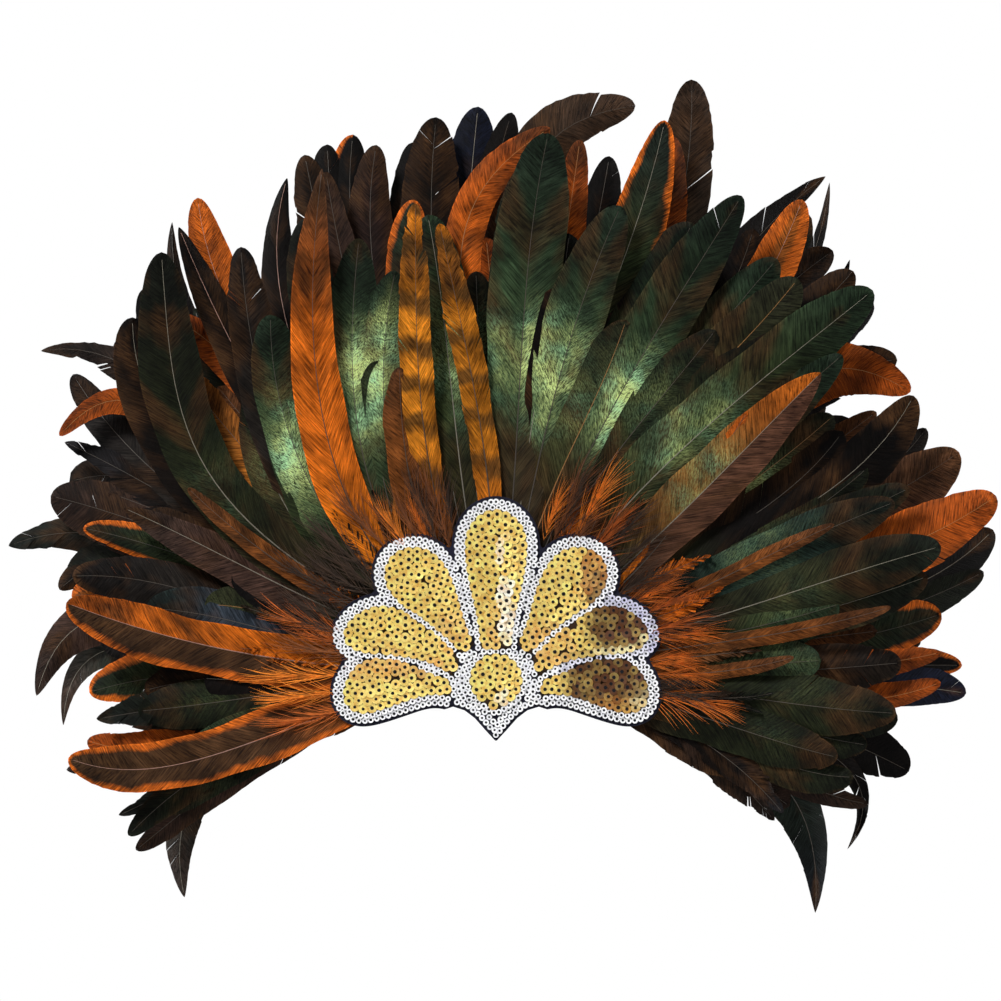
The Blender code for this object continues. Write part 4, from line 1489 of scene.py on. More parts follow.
    def add_lock(self, sheaf: Sheaf, lock: Lock) -> None:
        """Adds one lock: a thin closed wedge, thick at the quill and sharp at its edge.

        Args:
            sheaf: What it is added to.
            lock: The lock.
        """
        lines, steps = lock.depth.shape
        out = np.array(self.across)
        half = self.thickness / 2 * (1.0 - out * out)
        across, up = lock.place[..., 0], lock.place[..., 1]
        front = np.stack([across, lock.depth - half, up], axis=-1)
        back = np.stack([across, lock.depth + half, up], axis=-1)[:, :-1]
        faces = wedge_faces(lines, steps)
        if lock.side is Side.LEFT:
            faces = [face[::-1] for face in faces]
        barb = (lock.roots * self.length + self.map_step * self.seed)[:, None]
        values = {
            "dye": self.dyed(lock),
            # The strength of the painted green sheen at each point.
            "mint": lock.look.mint * self.painted_sheen_share(lock.side, lock.place, out),
            "bars": self.barred(lock),
            "barbs": np.stack(np.broadcast_arrays(barb, out), axis=-1),
        }
        grid = np.arange(lines * steps).reshape(lines, steps)
        twice = np.concatenate([grid.ravel(), grid[:, :-1].ravel()])
        sheaf.add(
            np.concatenate([front.reshape(-1, 3), back.reshape(-1, 3)]),
            faces,
            Stuff.VANE,
            edge_dye=np.array(lock.look.rim),
            rim_start=np.array([lock.look.rim_start]),
            **{name: value.reshape(lines * steps, -1)[twice] for name, value in values.items()},
        )

    def dyed(self, lock: Lock) -> np.ndarray:
        """The dye of a lock, from its root's colour to its tip's.

        Args:
            lock: The lock.

        Returns:
            A colour for each of its points.
        """
        root, body, tip = (np.array(colour) for colour in (lock.look.root, lock.look.body, lock.look.tip))
        rooted = (1.0 - smooth(lock.along, 0.12, 0.42))[..., None]
        tipped = smooth(lock.along, 0.62, 0.95)[..., None]
        dye = root * rooted + body * (1.0 - rooted) * (1.0 - tipped) + tip * (1.0 - rooted) * tipped
        return dye * self.tone

    def barred(self, lock: Lock) -> np.ndarray:
        """How dark the bars are on a lock.

        Args:
            lock: The lock.

        Returns:
            A share for each of its points.
        """
        drift = self.wave[1] + 0.5 * lock.side + 0.9 * np.sin(11.0 * lock.along + 3.0 * self.wave[2])
        stripe = np.sin(lock.along * self.length * 2 * math.pi / self.bar_length + drift)
        return lock.look.bars * (0.5 + 0.5 * stripe)

    def painted_sheen_share(self, side: Side, place: np.ndarray, out: np.ndarray) -> np.ndarray:
        """How strongly the painted green sheen shows: a painted highlight in a ring round the frame's origin,
        where the vane turns to the light.

        Args:
            side: The side of the quill.
            place: Places, with across and up last.
            out: Shares of the way out from the quill.

        Returns:
            A share for each place.
        """
        across, up = place[..., 0], place[..., 1]
        radius = np.hypot(across, up)
        angle = np.degrees(np.arctan2(across, up))
        sheen_arc = np.exp(-(((radius - self.sheen_radius) / self.sheen_width) ** 2))
        window = smooth(angle, -80.0, -45.0) * (1.0 - smooth(angle, 38.0, 75.0))
        strong = 1.0 if side is self.sheen_side else 0.45
        return 1.75 * sheen_arc**1.8 * strong * (1.0 - 0.60 * out) * (0.25 + 0.75 * window)


@dataclass(frozen=True)
class DownFinish:
    """Soft down, tinted by each barb's own colour.

    Attributes:
        roughness: Its roughness.
        clouds: Noise of its lighter and darker places.
    """

    roughness: float = 0.85
    clouds: Grain = (220.0, 2.0, 0.5)

    def material(self) -> bpy.types.Material:
        """The down's material.

        Returns:
            A material that reads each barb's colour.
        """
        shader = Shader("down_barb")
        cloud = shader.noise(shader.object_place(), self.clouds)
        film = shader.attribute("film").outputs["Color"]
        return shader.finish({
            "Base Color": shader.shaded(film, shader.mapped(cloud, (0.3, 0.7, 0.65, 1.3))),
            "Roughness": self.roughness,
            "Normal": shader.bump(cloud, 0.2, 0.0002),
        })


@dataclass
class DownTufts:
    """Tufts of loose down that stand out round the motif, in front of the last row.

    Attributes:
        surface: What the rows lie on.
        scatter: What sets the barbs.
        start: The least and most that a tuft starts out from the frame's origin.
        length: The least and most length of a tuft.
        barbs: Barbs in a tuft.
        barb_length: The least and most length of a barb, as a share of its tuft's.
        bend: How far a barb's tip bends, as a share of its length.
        tilt: The most that chance tilts a barb.
        colours: What a tuft may be dyed.
    """

    surface: RowSurface
    scatter: Scatter
    start: tuple[float, float] = (62.0, 78.0)
    length: tuple[float, float] = (26.0, 54.0)
    barbs: int = 66
    barb_length: tuple[float, float] = (0.34, 0.52)
    bend: float = 0.16
    tilt: float = 3.0
    colours: tuple[Colour, ...] = (
        (0.72, 0.170, 0.012),
        (0.50, 0.110, 0.010),
        (0.85, 0.240, 0.016),
        (0.20, 0.060, 0.014),
        (0.05, 0.026, 0.014),
    )

    def barb(self) -> bpy.types.Object:
        """One barb, a millimetre long.

        Returns:
            A thin three-sided body that bends and ends in a point.
        """
        angles = np.arange(3) * 2 * math.pi / 3
        rings = []
        for share, radius in ((0.0, 0.008), (0.35, 0.007), (0.7, 0.005), (1.0, 0.0010)):
            across = self.bend * share * share + radius * np.cos(angles)
            rings.append(np.stack([across, radius * np.sin(angles), np.full(3, share)], axis=1))
        return lofted("down_shape", rings)

    def dress(self, piece: bpy.types.Object, stretches: Sequence[DownRange], seed: int) -> None:
        """Adds tufts to a piece.

        Args:
            piece: The piece.
            stretches: Where they go.
            seed: What their irregularities start from.
        """
        chance = np.random.default_rng([SEED, DOWN_SEEDS + seed])
        places = Places("down_places")
        for angle in np.concatenate([np.arange(part.first, part.last, part.pace) for part in stretches]):
            heading = angle + chance.uniform(-2.0, 2.0)
            inner = chance.uniform(*self.start)
            length = chance.uniform(*self.length)
            colour = np.array(self.colours[int(chance.integers(len(self.colours)))])
            lift = chance.uniform(1.0, 3.5)
            for _ in range(self.barbs):
                share = chance.uniform(0.0, 1.0) ** 0.8
                spread = chance.uniform(-1.0, 1.0)
                across, up = direction(heading) * (inner + length * 0.62 * share)
                row = self.surface.depth(self.surface.front_row, across, up)
                depth = row - lift * (0.4 + share) - chance.uniform(0.0, 1.2)
                size = length * chance.uniform(*self.barb_length)
                turn = math.radians(heading + spread * (34.0 - 16.0 * share))
                tint = colour * chance.uniform(0.6, 1.25)
                places.add((across, depth, up), (chance.uniform(-0.05, 0.20), turn, 0.0), size, tint)
        shape = self.barb()
        self.scatter.dress(piece, places, shape, DownFinish().material(), self.tilt, SEED + seed)
        remove(shape)


@dataclass
class FeatherFan:
    """All rows of feathers, one piece for each bunch.

    Attributes:
        surface: What the rows lie on.
        down: The loose down in front of the last row.
        strip_inner: Inner radius of the binding strips.
        strip_outer: Outer radius of the binding strips.
        strip_thickness: Thickness of the binding strips.
        strip_margin: How many degrees they reach past the last quills.
        lift: How far apart neighbouring tips stand in depth.
        filler_pace: How many degrees of root angle get one filler feather.
        filler_barbs: Lines of barbs that a filler has, and a short feather of the front row.
        filler_across: Places of the points along their barbs.
        short_pace: Degrees between short feathers, as a share of those between tufts.
        short_reach: The least and most that the short feathers reach out.
        materials: The materials of a bunch, in the order of Stuff.
    """

    surface: RowSurface
    down: DownTufts
    strip_inner: float = 20.0
    strip_outer: float = 60.0
    strip_thickness: float = 2.0
    strip_margin: float = 1.5
    lift: float = 0.9
    filler_pace: float = 7.0
    filler_barbs: tuple[int, int] = (26, 66)
    filler_across: tuple[float, ...] = (0.0, 0.4, 0.75, 1.0)
    short_pace: float = 2.4
    short_reach: tuple[float, float] = (86.0, 116.0)
    materials: list[bpy.types.Material] = field(default_factory=list)

    def build(self) -> None:
        """Builds every bunch as one piece."""
        tape = ClothFinish("binding_tape", (0.012, 0.011, 0.012), 1500.0, 0.92, 0.0002)
        self.materials = [VaneFinish().material(), QuillFinish().material(), tape.material()]
        for number, bunch in enumerate(BUNCHES):
            self.build_bunch(number, bunch)

    def build_bunch(self, number: int, bunch: Bunch) -> None:
        """Builds one bunch: its strip, its fillers and its charted feathers.

        Args:
            number: Its place in the table.
            bunch: The bunch.
        """
        sheaf = Sheaf()
        self.add_strip(sheaf, bunch)
        in_front = bunch.row == self.surface.front_row
        seed = number * BUNCH_SEEDS
        barbs = self.filler_barbs[int(in_front)]
        for order, feather in enumerate(self.fillers(number, bunch), FILLER_SEEDS + seed):
            Plume(feather, bunch.row, self.surface, self.lift, order, barbs, self.filler_across).add_to(sheaf)
        for order, feather in enumerate(bunch.feathers):
            lift = self.lift * (order % 4 - 1.5) / 1.5
            Plume(feather, bunch.row, self.surface, lift, seed + order).add_to(sheaf)
        piece = sheaf.mesh(f"{bunch.node}_plumes", self.materials)
        if in_front:
            self.down.dress(piece, self.stretches(bunch), number)
        declare(piece, bunch.node)

    @staticmethod
    def stretches(bunch: Bunch) -> list[DownRange]:
        """The stretches of loose down that belong to a bunch."""
        return [stretch for stretch in DOWN_RANGES if stretch.node == bunch.node]

    def fillers(self, number: int, bunch: Bunch) -> list[Feather]:
        """Shorter feathers between the charted ones, which close the gaps behind them.

        Args:
            number: The bunch's place in the table.
            bunch: The bunch.

        Returns:
            The feathers, or in the front row the short downy ones.
        """
        looks = FILLER_LOOKS[bunch.row]
        chance = np.random.default_rng([SEED, GAP_SEEDS + number])
        if bunch.row == self.surface.front_row:
            return self.short_feathers(bunch, looks, chance)
        made = []
        shortened = (0.82, 0.95) if bunch.row < 2 else (0.72, 0.90)
        ordered = sorted(
            (feather for feather in bunch.feathers if not feather.hooked), key=lambda feather: feather.root
        )
        for left, right in zip(ordered[:-1], ordered[1:]):
            count = max(1, round((right.root - left.root) / self.filler_pace))
            for order in range(count):
                share = (order + chance.uniform(0.3, 0.7)) / count
                short = chance.uniform(*shortened)
                root, across, up, aim, width = (
                    (1.0 - share) * near + share * far for near, far in zip(left[:5], right[:5])
                )
                look = looks[int(chance.integers(len(looks)))]
                wide = float(chance.uniform(0.85, 1.1)) * max(width, 20.0)
                aim += chance.uniform(-8.0, 8.0)
                made.append(Feather(root, across * short, up * short, aim, wide, look))
        return made

    def short_feathers(
        self, bunch: Bunch, looks: tuple[Look, ...], chance: np.random.Generator
    ) -> list[Feather]:
        """The short downy feathers that close the front row round the motif.

        Args:
            bunch: The bunch that they belong to.
            looks: The looks that they may have.
            chance: Where their irregularities come from.

        Returns:
            The feathers.
        """
        made = []
        angles = [
            np.arange(part.first, part.last, self.short_pace * part.pace) for part in self.stretches(bunch)
        ]
        for angle in np.concatenate(angles):
            root = angle + chance.uniform(-1.8, 1.8)
            aim = root + chance.uniform(-16.0, 16.0)
            reach = chance.uniform(*self.short_reach) + 26.0 * smooth(abs(root), 40.0, 90.0)
            across, up = direction(root + (aim - root) * 0.2) * reach
            look = looks[int(chance.integers(len(looks)))]
            made.append(Feather(root, float(across), float(up), aim, chance.uniform(8.0, 12.5), look))
        return made

    def add_strip(self, sheaf: Sheaf, bunch: Bunch) -> None:
        """Adds the folded tape that binds a bunch's quills.

        Args:
            sheaf: What it is added to.
            bunch: The bunch.
        """
        roots = [feather.root for feather in bunch.feathers]
        first, last = min(roots) - self.strip_margin, max(roots) + self.strip_margin
        steps = max(3, math.ceil((last - first) / 4.0))
        middle = self.surface.first_row - bunch.row * self.surface.pitch
        half = self.strip_thickness / 2
        low, high = self.strip_inner, self.strip_outer
        front = ((low, -half * 0.6), (low + 1.0, -half), (high - 1.0, -half), (high, -half * 0.6))
        profile = (*front, *((radius, -depth) for radius, depth in reversed(front)))
        rings = []
        for step in range(steps + 1):
            across, up = direction(first + (last - first) * step / steps)
            rings.append([(across * radius, middle + depth, up * radius) for radius, depth in profile])
        points = np.array(rings).reshape(-1, 3)
        sheaf.add(points, tube_faces(steps + 1, len(profile)), Stuff.TAPE)


class Petal(NamedTuple):
    """One petal.

    Its node, its inner and outer ends across and up, its greatest half width, its half width
    at the inner end as a share of that, and how far its middle bows upwards.
    """

    node: str
    near_across: float
    near_up: float
    far_across: float
    far_up: float
    half_width: float
    base: float
    bow: float


PETALS: tuple[Petal, ...] = (
    Petal("petal_top", 0.0, 12.0, 0.0, 81.0, 15.2, 0.50, 0.0),
    Petal("petal_upper_left", -14.0, 11.5, -50.0, 59.5, 14.6, 0.28, 1.5),
    Petal("petal_upper_right", 14.0, 11.5, 50.0, 59.5, 14.6, 0.28, 1.5),
    Petal("petal_middle_left", -19.5, 2.5, -75.2, 21.2, 12.2, 0.42, 7.0),
    Petal("petal_middle_right", 19.5, 2.5, 75.2, 21.2, 12.2, 0.42, 7.0),
    Petal("petal_lower_left", -22.5, -8.0, -75.7, -11.2, 13.0, 0.30, 5.2),
    Petal("petal_lower_right", 22.5, -8.0, 75.7, -11.2, 13.0, 0.30, 5.2),
)

# The border's foot, on its right side from the petals down to its point, across and up.
FOOT: tuple[tuple[float, float], ...] = (
    (34.0, -15.4), (22.0, -15.2), (15.0, -17.4), (9.5, -21.6), (4.2, -27.6), (0.0, -32.8),
)


class Zone(NamedTuple):
    """A box of the motif where the film catches the light differently, and its colour there."""

    left: float
    right: float
    low: float
    high: float
    colour: Colour
    share: float = 1.0

    def inside(self, across: float, up: float) -> float:
        """How far a place is inside the box, whose edge and corners are soft.

        Args:
            across: The place across.
            up: Its height.

        Returns:
            A share, 1 well inside and 0 outside.
        """
        beside = abs(across - (self.left + self.right) / 2) / (self.right - self.left) * 2
        above = abs(up - (self.low + self.high) / 2) / (self.high - self.low) * 2
        return 1.0 - smooth(max(beside, above, math.hypot(beside, above) * 0.85), 0.70, 1.15)


GOLD: Colour = (1.0, 0.78, 0.22)
# Painted light on the films: the tan, burnt and dark golds are painted shade where sequins turn from the
# light, the pale gold and the glare are painted highlights, and the violet silver is a painted reflection.
SHADED_TAN_GOLD: Colour = (0.86, 0.50, 0.17)
HIGHLIT_GOLD: Colour = (1.0, 0.92, 0.50)
SHADED_DARK_GOLD: Colour = (0.110, 0.040, 0.010)
HALF_SHADED_GOLD: Colour = (0.50, 0.22, 0.05)
GLARE: Colour = (1.0, 0.97, 0.88)
SILVER: Colour = (0.98, 0.98, 1.0)
REFLECTED_VIOLET_SILVER: Colour = (0.42, 0.40, 0.62)

GOLD_ZONES: tuple[Zone, ...] = (
    Zone(-76, -40, -4, 12, SHADED_TAN_GOLD, 0.55),
    Zone(-52, -22, -2, 8, SHADED_TAN_GOLD, 0.55),
    Zone(-30, -14, 8, 30, SHADED_TAN_GOLD, 0.40),
    Zone(14, 40, 2, 26, SHADED_TAN_GOLD, 0.45),
    Zone(-6, 3, 12, 34, SHADED_TAN_GOLD, 0.40),
    Zone(41, 57, 36, 62, HALF_SHADED_GOLD, 0.75),
    Zone(46, 60, 32, 52, SHADED_DARK_GOLD, 0.45),
    Zone(44, 86, 12, 44, SHADED_DARK_GOLD, 1.00),
    Zone(48, 80, 8, 14.5, HIGHLIT_GOLD, 1.0),
    Zone(70, 76, 15, 20, HIGHLIT_GOLD, 1.0),
    Zone(33, 86, -17, 11, SHADED_DARK_GOLD, 0.92),
    Zone(44, 78, -26, -11, HALF_SHADED_GOLD, 0.60),
    Zone(66, 78, -20, -10, HIGHLIT_GOLD, 0.60),
    Zone(1, 9, 12, 48, GLARE, 0.75),
    Zone(-1, 5, 54, 70, GLARE, 0.60),
    Zone(-1, 6, -20, -8, GLARE, 0.80),
)
SILVER_ZONES: tuple[Zone, ...] = (
    Zone(52, 90, 8, 42, REFLECTED_VIOLET_SILVER, 0.55),
    Zone(28, 60, -2, 10, REFLECTED_VIOLET_SILVER, 0.35),
)


class FilmLook(NamedTuple):
    """A film: its colour, its zones of painted light and shade, and the least and most size of its sequins
    and their knots.
    """

    colour: Colour
    zones: tuple[Zone, ...]
    sizes: tuple[float, float]
    knot_sizes: tuple[float, float]

    def colour_at(self, across: float, up: float, chance: np.random.Generator) -> np.ndarray:
        """The colour of a sequin, with the painted light and shade of its zones, a little different for each.

        Args:
            across: Its place across.
            up: Its height.
            chance: Where the differences come from.

        Returns:
            Its colour.
        """
        colour = np.array(self.colour)
        for zone in self.zones:
            share = zone.inside(across, up) * min(1.0, max(0.0, zone.share + chance.uniform(-0.25, 0.25)))
            colour = colour * (1.0 - share) + np.array(zone.colour) * share
        return np.minimum(1.0, colour * chance.uniform(0.86, 1.14))


class Film(Enum):
    """The films that the sequins are cut from."""

    GOLD = FilmLook(GOLD, GOLD_ZONES, (0.96, 1.04), (0.85, 1.10))
    SILVER = FilmLook(SILVER, SILVER_ZONES, (0.94, 1.04), (0.85, 1.15))


# How many sequins there is room for in the table of places, and how finely places are sought
# along a row and in what room is left.
MOST_SEQUINS = 4000
WALK_STEP = 0.2
SPARE_STEP = 0.6


def grown(outline: np.ndarray, grow: float) -> np.ndarray:
    """A closed outline moved outwards along its own normals.

    Args:
        outline: Its points across and up, clockwise.
        grow: How far.

    Returns:
        The moved points.
    """
    run = np.roll(outline, -1, axis=0) - np.roll(outline, 1, axis=0)
    normal = np.stack([-run[:, 1], run[:, 0]], axis=1) / np.linalg.norm(run, axis=1, keepdims=True)
    return outline + grow * normal


def walked(outline: np.ndarray, step: float) -> tuple[np.ndarray, np.ndarray]:
    """Evenly spaced points on a closed outline.

    Args:
        outline: Its points.
        step: About how far apart the new ones are.

    Returns:
        The new points, and the angle that the outline runs at there, in radians.
    """
    closed = np.vstack([outline, outline[:1]])
    total = np.concatenate([[0.0], np.cumsum(np.linalg.norm(np.diff(closed, axis=0), axis=1))])
    at = np.linspace(0.0, total[-1], max(3, round(total[-1] / step)), endpoint=False)
    points = np.stack([np.interp(at, total, closed[:, axis]) for axis in (0, 1)], axis=1)
    run = np.roll(points, -1, axis=0) - np.roll(points, 1, axis=0)
    return points, np.arctan2(run[:, 1], run[:, 0])


def clearance(points: np.ndarray, outline: np.ndarray) -> np.ndarray:
    """How far inside a closed outline points lie.

    Args:
        points: The points, across and up.
        outline: The outline's points.

    Returns:
        A distance for each, below 0 outside the outline.
    """
    start, end = outline, np.roll(outline, -1, axis=0)
    run = end - start
    gap = points[:, None] - start
    share = np.clip((gap * run).sum(-1) / np.maximum((run * run).sum(-1), TINY), 0.0, 1.0)
    nearest = np.linalg.norm(gap - share[..., None] * run, axis=-1).min(axis=1)
    spans = (start[:, 1] > points[:, None, 1]) != (end[:, 1] > points[:, None, 1])
    rise = np.where(np.abs(run[:, 1]) < TINY, TINY, run[:, 1])
    crossing = start[:, 0] + (points[:, None, 1] - start[:, 1]) / rise * run[:, 0]
    within = (spans & (points[:, None, 0] < crossing)).sum(axis=1) % 2 == 1
    return np.where(within, nearest, -nearest)


@dataclass(frozen=True)
class MotifPlan:
    """The motif's outlines seen from the front, as rows of across and up, clockwise.

    Attributes:
        bud_centre: Height of the bud's middle.
        bud_radius: The bud's radius.
        bud_open_angle: Where the bud's round part ends, either side of its point.
        bud_tip: Height of the bud's point.
        petal_widest: Where a petal is widest, as a share of its length.
        border_width: Width of the sequin border outside the petals.
        steps: Points on each side of a petal.
        rounding: How many rays either side the whole outline's notches are rounded over.
    """

    bud_centre: float = -3.5
    bud_radius: float = 12.8
    bud_open_angle: float = 140.0
    bud_tip: float = -19.0
    petal_widest: float = 0.74
    border_width: float = 5.6
    steps: int = 30
    rounding: int = 3

    def petal(self, petal: Petal, grow: float) -> np.ndarray:
        """A petal's outline.

        Args:
            petal: Its row of the table.
            grow: How far it is grown.

        Returns:
            Its points.
        """
        near = np.array((petal.near_across, petal.near_up))
        far = np.array((petal.far_across, petal.far_up))
        run = far - near
        side = np.array((-run[1], run[0])) / np.linalg.norm(run)
        upward = math.copysign(1.0, run[0])
        share = (1.0 - np.cos(math.pi * np.arange(1, self.steps) / self.steps)) / 2
        rise = (1.0 - np.cos(math.pi * np.minimum(share / self.petal_widest, 1.0))) / 2
        fall = np.clip((share - self.petal_widest) / (1.0 - self.petal_widest), 0.0, 1.0)
        swell = petal.base + (1.0 - petal.base) * rise
        wide = np.where(share < self.petal_widest, swell, np.sqrt(1.0 - fall**2))
        bow = upward * petal.bow * 4 * share * (1 - share)
        centre = near + run * share[:, None] + side * bow[:, None]
        half = (petal.half_width * wide)[:, None] * side
        return grown(np.vstack([near, centre + half, far, (centre - half)[::-1]]), grow)

    def bud(self, grow: float) -> np.ndarray:
        """The bud's outline: a disc with a short point below.

        Args:
            grow: How far it is grown.

        Returns:
            Its points.
        """
        angles = np.linspace(-self.bud_open_angle, self.bud_open_angle, 41)
        disc = [direction(angle) * self.bud_radius + (0.0, self.bud_centre) for angle in angles]
        return grown(np.vstack([disc, (0.0, self.bud_tip)]), grow)

    def foot(self, grow: float) -> np.ndarray:
        """The outline of the border's foot: hollow sides that meet in a point.

        Args:
            grow: How far it is grown.

        Returns:
            Its points.
        """
        right = np.array(FOOT)
        left = right[-2::-1] * (-1.0, 1.0)
        return grown(np.vstack([(FOOT[0][0], 0.0), right, left, (-FOOT[0][0], 0.0)]), grow)

    def whole(self, grow: float, rays: int = 900) -> np.ndarray:
        """The motif's whole outline, the farthest of all its parts along each of many rays.

        Args:
            grow: How far it is grown past the petals.
            rays: How many rays there are.

        Returns:
            Its points.
        """
        petals = [self.petal(petal, grow) for petal in PETALS]
        lobes = [self.bud(grow), *petals, self.foot(grow - self.border_width)]
        angles = np.linspace(0.0, 2 * math.pi, rays, endpoint=False)
        rays_out = np.stack([np.sin(angles), np.cos(angles)], axis=1)
        reach = np.zeros(rays)
        for lobe in lobes:
            run = np.roll(lobe, -1, axis=0) - lobe
            turn = rays_out[:, None, 0] * run[:, 1] - rays_out[:, None, 1] * run[:, 0]
            turn = np.where(np.abs(turn) < TINY, TINY, turn)
            out = (lobe[:, 0] * run[:, 1] - lobe[:, 1] * run[:, 0]) / turn
            along = (lobe[:, 0] * rays_out[:, None, 1] - lobe[:, 1] * rays_out[:, None, 0]) / turn
            hits = np.where((along >= 0.0) & (along <= 1.0) & (out > 0.0), out, 0.0)
            reach = np.maximum(reach, hits.max(axis=1))
        spread = np.arange(-self.rounding, self.rounding + 1)
        reach = np.mean([np.roll(reach, shift) for shift in spread], axis=0)
        return rays_out * reach[:, None]


@dataclass(frozen=True)
class SequinShape:
    """A cupped round sequin with a hole, facing the front, and the knot that holds it.

    Attributes:
        radius: Its radius.
        hole: Radius of its hole.
        cup: How far its rim stands in front of its middle.
        film: Thickness of the film.
        lean: How far it leans on the next one in its row and in the next row, in degrees.
        knot: Radius of the knot.
        sides: Corners of its rim.
        knot_height: How far the knot stands in front of the film.
    """

    radius: float
    hole: float
    cup: float
    lean: float
    knot: float
    film: float = 0.12
    sides: int = 12
    knot_height: float = 0.22

    def washer(self, name: str) -> bpy.types.Object:
        """The sequin.

        Args:
            name: Its name.

        Returns:
            A thin closed washer.
        """
        angles = np.arange(self.sides) * 2 * math.pi / self.sides
        profile = (
            (self.hole, 0.0),
            (self.hole, -self.film),
            (self.radius, -self.cup - self.film),
            (self.radius, -self.cup),
        )
        rings = []
        for radius, depth in profile:
            across, up = radius * np.cos(angles), radius * np.sin(angles)
            lean = math.tan(math.radians(self.lean)) * (across + up) * 0.7
            rings.append(np.stack([across, depth - lean, up], axis=1))
        return lofted(name, rings, closed=True)

    def dot(self, name: str) -> bpy.types.Object:
        """The knot.

        Args:
            name: Its name.

        Returns:
            A low six-sided dome.
        """
        angles = np.arange(6) * math.pi / 3
        ring = np.stack([self.knot * np.cos(angles), np.full(6, 0.1), self.knot * np.sin(angles)], axis=1)
        front = ring * (0.80, 0.0, 0.80) - (0.0, self.film + self.knot_height, 0.0)
        return lofted(name, [ring, front])


@dataclass
class SequinMotif:
    """The motif: a felt base, a silver border, seven gold petals and a bud, all of sequins.

    Attributes:
        plan: The outlines.
        scatter: What sets the sequins.
        felt_front: Depth of the felt's front.
        felt_rear: Depth of the felt's rear.
        motif_rear: Depth of the rear of the sequin fields.
        rim_width: How far the felt shows outside the border.
        gold: The gold sequin.
        silver: The silver sequin.
        gold_pitch: Distance from one gold sequin to the next in its row.
        gold_rows: Distance between gold rows.
        gold_spacing: The least distance between gold sequins.
        gold_edge: How far inside its field's outline the first gold row lies.
        gold_room: How far inside a gold sequin's middle lies at least.
        gold_stand: How far gold stands in front of its pad.
        channel: How much farther gold keeps from another field's outline than from its own.
        silver_pitch: Distance from one silver sequin to the next.
        silver_spacing: The least distance between silver sequins.
        silver_edge: How far inside the border's outline the first silver row lies.
        silver_room: How far inside a silver sequin's middle lies at least.
        silver_stand: How far silver stands in front of its ground.
        silver_rows: How far outside each field's outline rows of silver are tried.
        ground_thickness: Thickness of the border's ground.
        pad_thickness: Thickness of a gold field's pad.
        puff: How far a field's middle swells.
        puff_reach: How far inside the outline it has swelled fully.
        tilt: The most that chance tilts a sequin.
    """

    plan: MotifPlan
    scatter: Scatter
    felt_front: float
    felt_rear: float
    motif_rear: float
    rim_width: float = 1.4
    gold: SequinShape = SequinShape(2.45, 0.40, 0.10, 8.0, 1.08)
    silver: SequinShape = SequinShape(1.56, 0.42, 0.12, 4.0, 0.76, sides=10)
    gold_pitch: float = 4.3
    gold_rows: float = 3.75
    gold_spacing: float = 3.35
    gold_edge: float = 1.9
    gold_room: float = 1.6
    gold_stand: float = 0.45
    channel: float = 2.4
    silver_pitch: float = 2.95
    silver_spacing: float = 2.45
    silver_edge: float = 1.4
    silver_room: float = 1.15
    silver_stand: float = 0.35
    silver_rows: tuple[float, ...] = (1.45, 1.15, 0.85, 0.55, 0.25)
    ground_thickness: float = 0.5
    pad_thickness: float = 1.35
    puff: float = 0.7
    puff_reach: float = 9.0
    tilt: float = 5.0

    def build(self) -> None:
        """Builds the motif's pieces."""
        chance = np.random.default_rng([SEED, MOTIF_SEED])
        felt = ClothFinish("motif_felt_cloth", (0.010, 0.010, 0.020), 1300.0, 0.95, 0.0003).material()
        cloth = ClothFinish("sequin_ground", (0.030, 0.016, 0.008), 1600.0, 0.85, 0.0002).material()
        thread = ClothFinish("black_thread", (0.006, 0.006, 0.008), 3000.0, 0.8, 0.0001).material()
        gold_film = SequinFinish("gold_film", (0.80, 0.52, 0.26), 0.22).material()
        silver_film = SequinFinish("silver_film", (0.92, 0.92, 0.96), 0.06).material()
        self.build_base(felt)
        washer, knot = self.gold.washer("gold_washer"), self.gold.dot("gold_knot")
        fields: dict[str, Outline] = {petal.node: partial(self.plan.petal, petal) for petal in PETALS}
        fields["bud"] = self.plan.bud
        edges = {node: outline(0.0) for node, outline in fields.items()}
        for order, (node, outline) in enumerate(fields.items()):
            pad = self.build_pad(f"{node}_sequins", outline, cloth)
            others = [edge for name, edge in edges.items() if name != node]
            places, knots = self.gold_places(outline, others, chance)
            self.scatter.dress(pad, places, washer, gold_film, self.tilt, SEED + order)
            self.scatter.dress(pad, knots, knot, thread)
            declare(pad, node)
        self.build_border((silver_film, thread, felt), list(fields.values()), chance)
        remove(washer, knot)

    def build_base(self, felt: bpy.types.Material) -> None:
        """The felt base, with a softly rounded edge.

        Args:
            felt: Its material.
        """
        out = self.plan.border_width + self.rim_width
        profile = (
            (-0.35, self.felt_rear),
            (0.0, self.felt_rear - 0.3),
            (0.0, self.felt_front + 0.35),
            (-0.35, self.felt_front),
        )
        rings = [flat_ring(self.plan.whole(out + grow), depth) for grow, depth in profile]
        declare(lofted("motif_base", rings, felt), "felt_base")

    def build_pad(self, name: str, outline: Outline, cloth: bpy.types.Material) -> bpy.types.Object:
        """The cloth pad under one field of sequins.

        Args:
            name: The piece's name.
            outline: The field's outline.
            cloth: Its material.

        Returns:
            The pad, which the sequins are added to.
        """
        front = self.motif_rear - self.pad_thickness
        profile = ((0.0, self.motif_rear), (0.0, front + 0.5), (-0.7, front))
        return lofted(name, [flat_ring(outline(grow), depth) for grow, depth in profile], cloth)

    def gold_places(
        self, outline: Outline, others: Sequence[np.ndarray], chance: np.random.Generator
    ) -> tuple[Places, Places]:
        """Where the gold sequins of a field and their knots go.

        Args:
            outline: The field's outline.
            others: The other fields' outlines, which they leave room for silver beside.
            chance: Where their irregularities come from.

        Returns:
            The sequins' places, in rows that follow the outline, and the knots'.
        """
        edge = outline(0.0)

